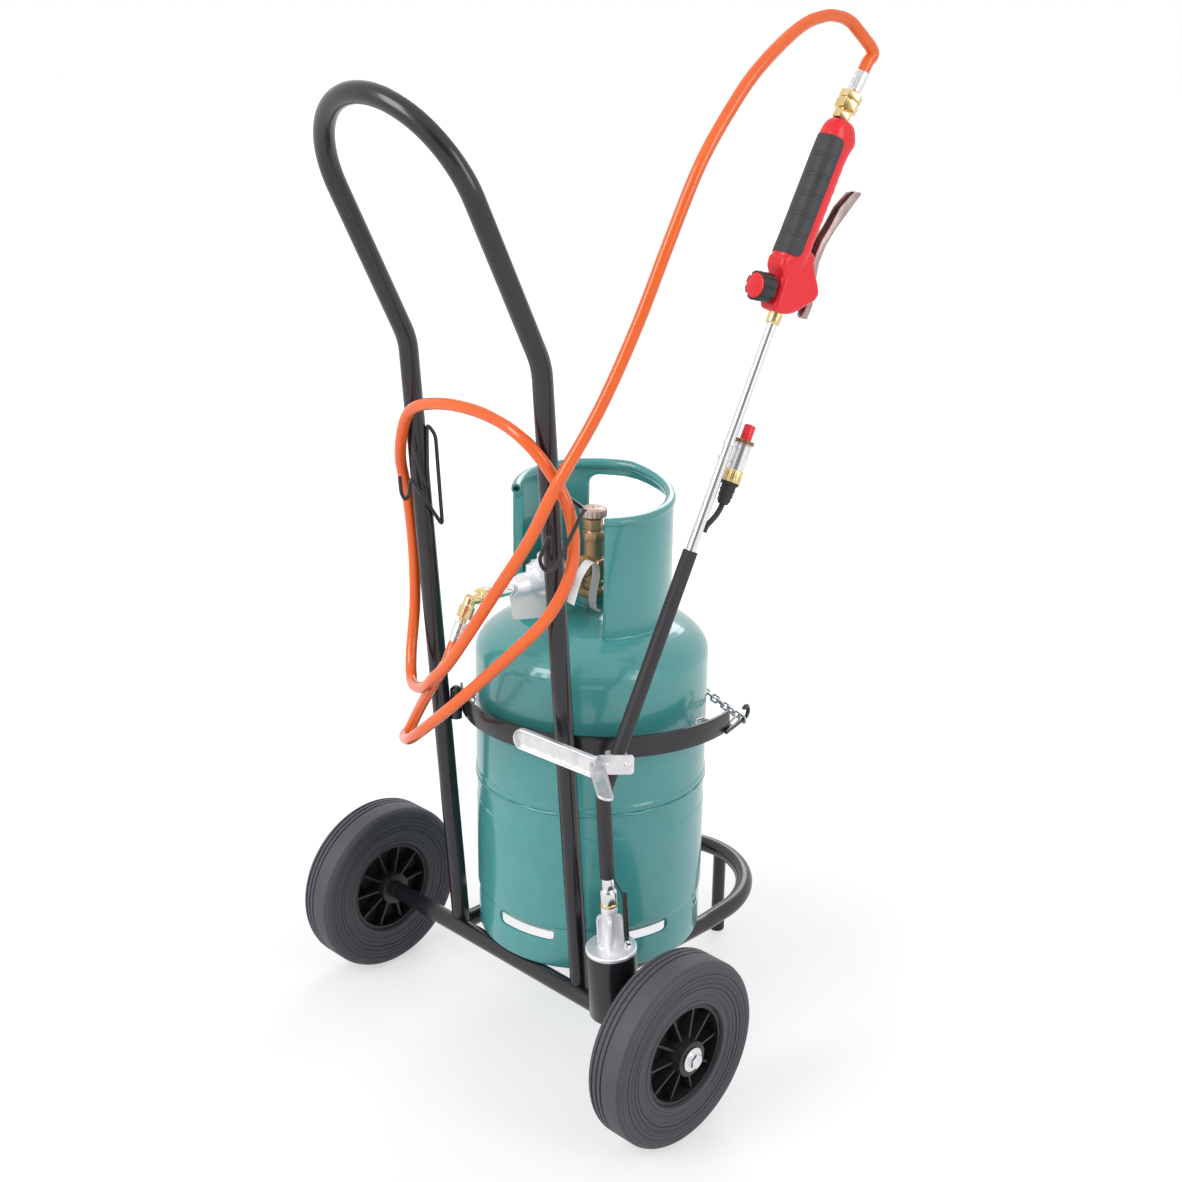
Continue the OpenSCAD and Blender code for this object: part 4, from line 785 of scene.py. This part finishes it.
polished("hose_elbow")
plated("regulator_outlet")
alloy = finish(
    "cast alloy", (0.92, 0.92, 0.96), (0.78, 0.78, 0.82), 0.34, 0.5, metal=0.55, patch=50, grain=1500,
    depth=0.0002
)
moulded("regulator_body", "regulator_casting", 0.0008, 8, alloy, "cast_alloy")

# ---------- Paper tags ----------
# A bare strip of stiff paper bent beside the valve, its foot on the weld of the boss, and
# a bare card behind the regulator.
paper = finish("tag paper", (0.93, 0.92, 0.91), (0.87, 0.86, 0.85), 0.6, 0.75, depth=0.00005)


def paper_strip(name, line, across, thick=0.0003):
    """A strip drawn as one long edge, widened across and given the paper's thickness."""
    piece = traced(name, [tuple(p) for p in line])
    bpy.ops.mesh.select_all(action="SELECT")
    bpy.ops.mesh.extrude_region_move(TRANSFORM_OT_translate={"value": across})
    bpy.ops.object.mode_set(mode="OBJECT")
    sheet = piece.modifiers.new("paper", "SOLIDIFY")
    sheet.thickness = thick
    sheet.offset = 0
    apply_all(piece)
    bpy.ops.object.shade_smooth_by_angle(angle=math.radians(40))
    return piece


def smooth_route(points, steps):
    """A curve through the points, with so many steps from each to the next."""
    ends = [2 * points[0] - points[1], *points, 2 * points[-1] - points[-2]]
    path = []
    for before, start, stop, after in zip(ends, ends[1:], ends[2:], ends[3:]):
        for step in range(steps):
            t = step / steps
            path.append(
                (
                    2 * start
                    + (stop - before) * t
                    + (2 * before - 5 * start + 4 * stop - after) * t * t
                    + (3 * start - 3 * stop + after - before) * t * t * t
                )
                / 2
            )
    return path + [points[-1]]


strip_bends = [Vector(p) / 1000 for p in (
    (35, -28, 630), (35, -22, 645), (35, -15, 661), (35, -7, 671), (35, 5, 680), (35, 16, 676), (35, 19, 664),
    (35, 17, 650), (35, 13, 634), (35, 13, 620), (35, 17, 610), (35, 22, 612),
)]
strip = paper_strip("valve_strip", smooth_route(strip_bends, 5), (-0.018, 0.004, 0))
card_bends = [Vector(p) / 1000 for p in ((-10, -104, 664), (-9, -82, 660), (-10, -60, 656), (-12, -38, 651))]
card = paper_strip("regulator_card", smooth_route(card_bends, 4), (0.002, 0.008, -0.048))
stands_for(joined("paper_tags", strip, card), paper, "tag_paper", "valve_tag")

# ---------- Torch ----------
# A lance of drawn steel tube with black rubber sleeves on its neck. A plated nut and a
# brass ring join it to a cast alloy head and a bell blackened by heat.
burnt = finish("burnt steel", (0.012, 0.012, 0.013), (0.03, 0.026, 0.026), 0.45, 0.65, patch=30)
machined("burner_bell", "bell_blackened", 0.0005, burnt, "bell_steel")
machined("burner_head", "burner_casting", 0.0006, alloy, "cast_alloy")
black_rubber = finish("black rubber", (0.02, 0.018, 0.021), (0.032, 0.03, 0.033), 0.5, 0.62)
dress(black_rubber, "neck_sleeve", "lance_sleeve")
plated("head_nut", "neck_ferrule")
polished("head_ring")
dress(
    finish(
        "drawn steel", (0.86, 0.86, 0.88), (0.76, 0.76, 0.78), 0.16, 0.26, metal=1, patch=20, grain=300,
        depth=0.000002
    ),
    "lance_tube"
)

# ---------- Torch handle ----------
# A red moulded block round the valve, drawn out into an oval grip with a collar at its
# top and brass nuts for the hose. The trigger sits in a slot through the block.
red = finish("red moulding", (0.93, 0.016, 0.03), (0.86, 0.013, 0.024), 0.26, 0.36, coat=0.05)
torch_out, torch_lean = 0.195, 4.8
torch_foot = (
    at_axle
    @ Matrix.Translation((torch_out, 0, axle_height))
    @ Matrix.Rotation(math.radians(torch_lean), 4, "X")
)
at_torch = torch_foot @ Matrix.Rotation(math.radians(-8.2), 4, "Z")


def on_lance(height):
    return (
        at_torch
        @ Matrix.Translation((0, 0, 0.3266))
        @ Matrix.Rotation(math.radians(-28), 4, "X")
        @ Matrix.Translation((0, 0, height))
    )


def grip_outline(wide, deep, count=48):
    outline = []
    for i in range(count):
        c, s = math.cos(2 * math.pi * i / count), math.sin(2 * math.pi * i / count)
        outline.append(
            (wide / 2 * math.copysign(abs(c) ** 0.8, c), deep / 2 * math.copysign(abs(s) ** 0.8, s), 0)
        )
    return outline


def lofted(name, stations, more=0.0):
    """An oval section drawn up through stations of height, offset, width and depth in mm."""
    height, off, wide, deep = stations[0]
    outline = [
        (x, y + off / 1000, height / 1000)
        for x, y, z in grip_outline((wide + more) / 1000, (deep + more) / 1000)
    ]
    piece = traced(name, outline + [outline[0]])
    bpy.ops.mesh.select_all(action="SELECT")
    bpy.ops.mesh.remove_doubles(threshold=merge_gap)
    bpy.ops.mesh.select_all(action="SELECT")
    bpy.ops.mesh.edge_face_add()
    for below, above in zip(stations, stations[1:]):
        bpy.ops.mesh.extrude_region_move(
            TRANSFORM_OT_translate={"value": (0, (above[1] - below[1]) / 1000, (above[0] - below[0]) / 1000)}
        )
        bpy.ops.transform.resize(
            value=((above[2] + more) / (below[2] + more), (above[3] + more) / (below[3] + more), 1),
            center_override=(0, above[1] / 1000, above[0] / 1000),
        )
    bpy.ops.mesh.select_all(action="SELECT")
    bpy.ops.mesh.normals_make_consistent(inside=False)
    bpy.ops.object.mode_set(mode="OBJECT")
    return piece


handle_base = on_lance(0.619)


def upright(start):
    """Stands a section drawn in X and Y up in the lance's plane, so far along X."""
    return Matrix(((0, 0, 1, start), (1, 0, 0, 0), (0, 1, 0, 0), (0, 0, 0, 1)))


block_outline = (
    (-18, 0), (0, 0), (8, 2.4), (16, 6.5), (22, 11.5), (28, 17.5), (34, 23), (39, 27.5), (42.4, 31.5),
    (44, 35.5), (44.6, 40), (42.6, 45), (38.4, 50), (33.6, 55), (28, 60), (23.5, 66), (19.5, 72),
    (16.5, 80), (-6, 84), (-24, 70), (-31, 60), (-30, 51), (-27.5, 46), (-24, 43), (-21, 39),
)
block = seated(raised("handle_block", block_outline, 32), upright(-0.016))
slot_tool = seated(raised("trigger_slot", ((17, -1), (77, -1), (77, 100), (17, 100)), 16), upright(-0.008))
grip_place = (
    Matrix.Translation((0, -0.010, 0.060))
    @ Matrix.Rotation(math.radians(-2), 4, "X")
    @ Matrix.Translation((0, 0, -0.060))
)
fingers = [
    (z, -0.4 if (z // 6) % 2 else 0, 38, 40.6 if (z // 6) % 2 else 41.6) for z in range(84, 192, 6)
]
grip_stations = [
    (58, 0, 33, 39), (63, 0, 36, 41.5), (68, 0, 38, 42.6), *fingers, (196, 0, 38, 41.6),
    (202, 0.4, 38, 42.2), (208, 1.2, 37.8, 44), (213, 2.2, 37.4, 46), (217, 2.6, 37, 46.6),
    (220, 2.4, 36.4, 45.6), (225, 1.4, 34.6, 42), (229, 0.8, 32.6, 38.4), (232.5, 0.4, 30, 34),
    (235, 0.2, 27, 30), (236.6, 0, 23, 25)
]
grip = seated(lofted("handle_grip", grip_stations), grip_place)
knob_way = Matrix.Translation((0, -0.012, 0.025)) @ Matrix.Rotation(math.radians(100), 4, "X")
spindle_hole = seated(
    turned("spindle_hole", ((0, -0.014), (0.0045, -0.014), (0.0045, 0.026), (0, 0.026)), 24), knob_way
)
eased(block, 0.0065, 5, 60)
cut(block, slot_tool)
handle = joined("handle_moulding", grip, block)
skin = handle.modifiers.new("skin", "REMESH")
skin.mode = "VOXEL"
skin.voxel_size = 0.0008
soft = handle.modifiers.new("soft edges", "SMOOTH")
soft.factor = 0.5
soft.iterations = 9
apply_all(handle)
cut(handle, spindle_hole)
bpy.ops.object.shade_smooth_by_angle(angle=math.radians(50))
seated(handle, handle_base)
stands_for(handle, red, "handle_red", "torch_handle")

# The soft insert wraps the palm side and carries five pairs of fine grooves.
insert_stations = [(60, 0, 38, 43), (66, 0, 38, 43)]
for groove in (90.5, 115, 139.5, 164, 188.5):
    for at in (groove - 2, groove + 2):
        insert_stations += [
            (at - 0.8, 0, 38, 41.8), (at - 0.4, 0, 37.2, 41), (at + 0.4, 0, 37.2, 41),
            (at + 0.8, 0, 38, 41.8)
        ]
insert_stations += [(202, 0.4, 38, 42.4), (208, 1.2, 37.8, 44), (213, 2.2, 37.4, 46), (217, 2.6, 37, 46.6)]
insert = lofted("insert_loft", insert_stations, more=1.2)
insert_edge = -1.5
corners = [
    (insert_edge - 8 + 8 * math.cos(math.radians(a)), middle + 8 * math.sin(math.radians(a)))
    for middle, start in ((74, -90), (205, 0))
    for a in range(start, start + 91, 15)
]
side_shape = seated(raised("insert_side", ((-40, 66), *corners, (-40, 213)), 60), upright(-0.03))
cut(insert, side_shape, "INTERSECT")
eased(insert, 0.0004, 2, 60)
bpy.ops.object.shade_smooth_by_angle(angle=math.radians(35))
seated(insert, handle_base @ grip_place)
insert.name = "grip_insert_soft"
grip_rubber = finish("grip rubber", (0.036, 0.033, 0.038), (0.05, 0.047, 0.053), 0.45, 0.6, grain=1400)
stands_for(insert, grip_rubber, "rubber_black", "grip_insert")
polished("inlet_nut", "hose_coupling")

# ---------- Folding stand ----------
# A plated clamp plate on a block, screwed round the sleeve, and two pressed channel legs
# with round ends.
at_clamp = (
    at_axle
    @ Matrix.Translation((0.198147, -0.009039, 0.491635))
    @ Matrix.Rotation(math.radians(47), 4, "Z")
)
plate_outline = [(-21.5, -13), (8, -13)] + [
    (21.5 - 5 + 5 * math.cos(math.radians(a)), sy * 8 + 5 * math.sin(math.radians(a)))
    for sy, start in ((-1, -90), (1, 0))
    for a in range(start, start + 91, 18)
] + [(-21.5, 13)]
plate = raised("clamp_plate", plate_outline, 2.6)
eased(plate, 0.0008, 3, 50)
# Turns a piece drawn flat so that its top faces the clamp's front
to_front = Matrix.Rotation(math.radians(90), 4, "X")
seated(plate, at_clamp @ Matrix.Translation((0, -0.0124, 0)) @ to_front)
saddle = seated(
    raised("clamp_saddle", soft_corners(27, 19, 3), 19),
    at_clamp @ Matrix.Translation((0, 0.0075, 0)) @ to_front
)
clamp = creased(joined("clamp_plated", plate, saddle), 40)


def tray_leg(name, run=119, wide=24, deep=8, wall=1.8, end_deep=8, end_long=12):
    """A pressed channel with one round end: a raised outline whose top is pushed in. Its
    sides get lower towards the round end."""
    outline = [(0, -wide / 2)] + [
        (run - end_long + end_long * math.cos(math.radians(a)), wide / 2 * math.sin(math.radians(a)))
        for a in range(-90, 91, 10)
    ] + [(0, wide / 2)]
    piece = raised(name, outline, deep)
    only(piece)
    bpy.ops.object.mode_set(mode="EDIT")
    bpy.ops.mesh.select_mode(type="FACE")
    bpy.ops.mesh.select_all(action="DESELECT")
    bpy.ops.object.mode_set(mode="OBJECT")
    for face in piece.data.polygons:
        face.select = face.normal.z > 0.9 and face.center.z > deep / 2000
    bpy.ops.object.mode_set(mode="EDIT")
    bpy.ops.mesh.inset(thickness=wall / 1000)
    bpy.ops.mesh.extrude_region_move(TRANSFORM_OT_translate={"value": (0, 0, -(deep - wall) / 1000)})
    bpy.ops.mesh.select_mode(type="VERT")
    bpy.ops.object.mode_set(mode="OBJECT")
    for corner in piece.data.vertices:
        if corner.co.z > 0.0019:
            corner.co.z -= (deep - end_deep) / 1000 * corner.co.x / (run / 1000)
    eased(piece, 0.0009, 3, 40)
    return piece


stand_steel = finish(
    "stand steel", (0.84, 0.83, 0.85), (0.7, 0.68, 0.7), 0.3, 0.48, metal=0.8, patch=60, grain=400,
    depth=0.00004
)
# Turns a piece drawn flat so that its top faces away from the clamp's front
to_back = Matrix.Rotation(math.radians(-90), 4, "X")
fold_place = at_clamp @ Matrix.Translation((-0.0245, -0.027, 0.004))
far_leg = seated(
    tray_leg("far_leg", wide=27),
    fold_place @ Matrix.Rotation(math.radians(145.6), 4, "Z") @ Matrix.Rotation(math.radians(-6.2), 4, "Y")
    @ to_back,
)
near_leg = seated(
    tray_leg("near_leg", run=101, wide=19, deep=9, end_deep=3, end_long=9.5),
    fold_place @ Matrix.Rotation(math.radians(-85.5), 4, "Z") @ Matrix.Rotation(math.radians(-4), 4, "Y")
    @ Matrix.Translation((0, -0.001, -0.004)) @ Matrix.Rotation(math.radians(-12), 4, "X"),
)
bracket = raised("fold_bracket", ((-4, -4), (5, -4), (5, 12), (-4, 12)), 26)
seated(bracket, fold_place @ Matrix.Translation((0, 0, -0.017)))
stands_for(clamp, stand_steel, "zinc_steel", "stand_clamp")
stands_for(
    creased(joined("stand_legs_plated", far_leg, near_leg, bracket), 40), stand_steel, "zinc_steel",
    "stand_legs"
)
plated("stand_screws")

# ---------- Electrode ----------
# A rod in black sleeving that carries the spark to the bell, held in a small plated boss,
# with its lead running up under the neck's sleeve.
electrode_place = (
    torch_foot
    @ Matrix.Rotation(math.radians(45), 4, "Z")
    @ Matrix.Translation((0.0206, 0, 0.1068))
)
rod = seated(
    turned(
        "electrode_rod",
        (
            (0, 0), (0.0028, 0), (0.0028, 0.012), (0.0034, 0.0124), (0.0034, 0.076), (0.0028, 0.0766),
            (0.0016, 0.0775), (0, 0.0775)
        ),
        24
    ),
    electrode_place
)
spark_lead = tube_along(
    "spark_lead",
    smooth_route(
        [
            Vector(p) / 1000
            for p in (
                (211.5, -103.5, 287), (212, -107, 297), (212, -113, 313), (212, -122, 328),
                (211, -127, 338), (210.5, -128, 350)
            )
        ],
        4
    ),
    0.0026, 4
)
sleeve = finish("electrode cover", (0.02, 0.018, 0.02), (0.03, 0.028, 0.03), 0.4, 0.5)
stands_for(creased(joined("electrode_sleeved", spark_lead, rod)), sleeve, "electrode_black", "electrode")
boss = turned(
    "electrode_boss",
    (
        (0, -0.0005), (0.006, -0.0005), (0.006, 0.0052), (0.0055, 0.006), (0.003, 0.0062), (0.003, 0.0075),
        (0, 0.0075)
    ),
    32
)
boss = creased(seated(boss, electrode_place))
rides(boss, zinc, "torch")

# ---------- Flow knob ----------
# A black moulded knob on the torch valve's spindle, with a red cap pressed into its
# face, and the turned brass collar that holds the lance in the handle.
knob_plastic = finish("knob plastic", (0.015, 0.015, 0.016), (0.022, 0.022, 0.023), 0.35, 0.5)
knob_place = handle_base @ knob_way @ Matrix.Translation((0, 0, 0.015))
knob = fluted("knob_moulding", 0.0178, 0.0022, 8, 0.0208, 0.0014)
stem = turned("knob_stem", ((0, -0.025), (0.00445, -0.025), (0.00445, 0.001), (0, 0.001)), 32)
seated(joined("knob_moulding", stem, knob), knob_place)
knob = bpy.context.object
stands_for(creased(knob, 40), knob_plastic, "knob_black", "flow_knob")
cap = seated(
    turned(
        "knob_cap",
        (
            (0, 0.019), (0.0141, 0.019), (0.0146, 0.0205), (0.0146, 0.0211), (0.014, 0.0217),
            (0.0125, 0.022), (0.008, 0.0223), (0.004, 0.0225), (0, 0.0225),
        ),
        48
    ),
    knob_place
)
rides(creased(cap, 40), red, "flow_knob")
neck = turned(
    "lance_collar_turned",
    (
        (0, -0.001), (0.0082, -0.001), (0.0088, 0), (0.0088, 0.0052), (0.0092, 0.0056), (0.0092, 0.0128),
        (0, 0.0128)
    ),
    40
)
stands_for(creased(seated(neck, on_lance(0.606))), bright_brass, "bright_brass", "lance_collar")

# ---------- Igniter ----------
# A push-button spark unit clipped to the lance: a plated barrel, a knurled brass nut, a
# ribbed rubber boot with its cable, and a red button.
at_igniter = on_lance(0.451) @ Matrix.Translation((0, 0.0235, 0))
barrel = turned(
    "igniter_case",
    (
        (0, -0.024), (0.0106, -0.024), (0.011, -0.0236), (0.011, 0.0075), (0.0104, 0.008), (0.0104, 0.0098),
        (0.0098, 0.0104), (0.0098, 0.0135), (0.0075, 0.0135), (0.0075, 0.008), (0, 0.008)
    ),
    48
)
seated(barrel, at_igniter)
stands_for(creased(barrel), zinc, "cast_alloy", "igniter_body")
plated("igniter_clips")
flange = turned(
    "igniter_flange",
    (
        (0.0076, 0.0092), (0.0118, 0.0092), (0.0125, 0.0098), (0.0125, 0.0112), (0.0119, 0.0117),
        (0.0119, 0.0124), (0.0127, 0.013), (0.0127, 0.0138), (0.012, 0.0143), (0.0076, 0.0143),
        (0.0076, 0.0092)
    ),
    48
)
flange = creased(seated(flange, at_igniter))
aged_brass = finish("aged brass", (0.4, 0.24, 0.13), (0.22, 0.12, 0.08), 0.3, 0.5, metal=0.8, patch=60)
rides(flange, aged_brass, "torch")
stud_outline = (
    (0, 0), (0.0029, 0), (0.0029, 0.0012), (0.0024, 0.0018), (0.001, 0.002), (0.001, 0.0012), (0, 0.0012)
)
stud_way = Matrix.Translation((0.0104, 0, 0.001)) @ Matrix.Rotation(math.radians(90), 4, "Y")
studs = []
for turn in (150, 215):
    stud_place = at_igniter @ Matrix.Rotation(math.radians(turn), 4, "Z") @ stud_way
    studs.append(seated(turned("igniter_stud", stud_outline, 24), stud_place))
studs = creased(joined("igniter_studs", *studs))
rides(studs, zinc, "torch")
nut_place = at_igniter @ Matrix.Translation((0, 0, -0.0395))
nut = seated(fluted("igniter_nut_knurled", 0.0123, 0.0009, 24, 0.0157, 0.0007), nut_place)
stands_for(creased(nut, 40), bright_brass, "bright_brass", "igniter_nut")
boot = turned(
    "igniter_boot_moulded",
    (
        (0, 0.0005), (0.0114, 0.0005), (0.0114, -0.003), (0.0106, -0.0037), (0.0092, -0.0041),
        (0.009, -0.009), (0.0096, -0.0096), (0.0096, -0.0112), (0.0088, -0.0118), (0.0086, -0.0155),
        (0.0092, -0.0161), (0.0092, -0.0177), (0.0083, -0.0183), (0.008, -0.022), (0.0085, -0.0226),
        (0.0085, -0.024), (0.0073, -0.0247), (0.0066, -0.0275), (0.0052, -0.0285), (0, -0.0285)
    ),
    40
)
lead = tube_along(
    "igniter_lead",
    smooth_route(
        [
            Vector(p) / 1000
            for p in (
                (0, 0, -26), (0, -0.6, -34), (0, -3.5, -44), (0, -8.5, -53), (0, -12.6, -60),
                (0, -13.4, -68)
            )
        ],
        5
    ),
    0.007, 5
)
stands_for(
    creased(seated(joined("igniter_boot_moulded", lead, boot), nut_place)), black_rubber, "rubber_black",
    "igniter_boot"
)
button = turned(
    "igniter_button_soft",
    (
        (0, 0.0135), (0.0072, 0.0135), (0.0072, 0.0315), (0.0067, 0.0327), (0.0055, 0.0335),
        (0.0028, 0.0339), (0, 0.034)
    ),
    40
)
stands_for(creased(seated(button, at_igniter), 40), red, "handle_red", "igniter_button")

# ---------- Trigger ----------
# A pressed steel lever with its sides turned in. It turns on a plated pin through the
# moulded block.
pin = turned(
    "trigger_pin_short",
    ((0, -0.0125), (0.0016, -0.0125), (0.00195, -0.012), (0.00195, 0.012), (0.0016, 0.0125), (0, 0.0125)),
    24
)
seated(pin, handle_base @ Matrix.Translation((0, 0.036, 0.044)) @ Matrix.Rotation(math.radians(90), 4, "Y"))
stands_for(creased(pin), zinc, "zinc_steel", "trigger_pin")
trigger_plate = finish("trigger plate", (0.4, 0.3, 0.29), (0.52, 0.42, 0.41), 0.2, 0.32, metal=1, patch=30)
machined("trigger", "trigger_pressing", 0.0004, trigger_plate, "trigger_chrome")

# ---------- Hose ----------
# One length of orange rubber gas hose, 15 mm thick. It runs from the torch's swivel nut
# in two loops past both hooks to the regulator's elbow, and has a plated ferrule crimped
# on each end.
hose_d = 0.015
torch_end = Vector((0.256525, 0.225413, 1.29322))
torch_way = Vector((0.0838352, 0.512039, 0.854861))
valve_end = Vector((0, -0.20183, 0.614078))
valve_way = Vector((0, -0.469472, -0.882948))
hose_route = [torch_end, torch_end + 0.014 * torch_way, torch_end + 0.028 * torch_way] + [
    Vector(p) / 1000
    for p in (
        (254, 212, 1342), (251, 202, 1350), (249, 185, 1355), (247, 159, 1355),
        (243, 119, 1342), (239, 56, 1299), (235, 12, 1253), (230, -30, 1195),
        (222, -67, 1116), (210, -104, 1024), (188, -140, 930), (160, -182, 840),
        (134, -198, 776), (95, -214, 709), (48, -224, 638), (12, -224, 593),
        (-18, -222, 566), (-50, -211, 542), (-90, -195, 527), (-117, -179, 529),
        (-136, -163, 556), (-147, -146, 620), (-149, -145, 696), (-144, -156, 766),
        (-134, -174, 828), (-96, -188, 888), (-30, -194, 910), (48, -192, 910),
        (112, -190, 892), (144, -170, 848), (160, -156, 796), (160, -156, 736),
        (138, -172, 676), (98, -198, 622), (37, -225, 555), (-16, -231, 507),
        (-60, -224, 473), (-98, -205, 452), (-122, -189, 445), (-125, -178, 450),
        (-110, -177, 476), (-85, -184, 506), (-52, -194, 541), (-20, -201, 578),
    )
] + [valve_end + 0.028 * valve_way, valve_end + 0.014 * valve_way, valve_end]
hose_path = smooth_route(hose_route, 6)
hose = tube_along("hose", hose_path, hose_d)
hose.data.materials.append(
    finish(
        "hose orange", (0.9, 0.14, 0.012), (0.84, 0.115, 0.01), 0.16, 0.24, coat=0.3, patch=9, grain=500,
        depth=0.00001
    )
)
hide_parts("hose_upper", "hose_lower")
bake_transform(hose)
dress(zinc, "hose_ferrule_low", "hose_ferrule_top")
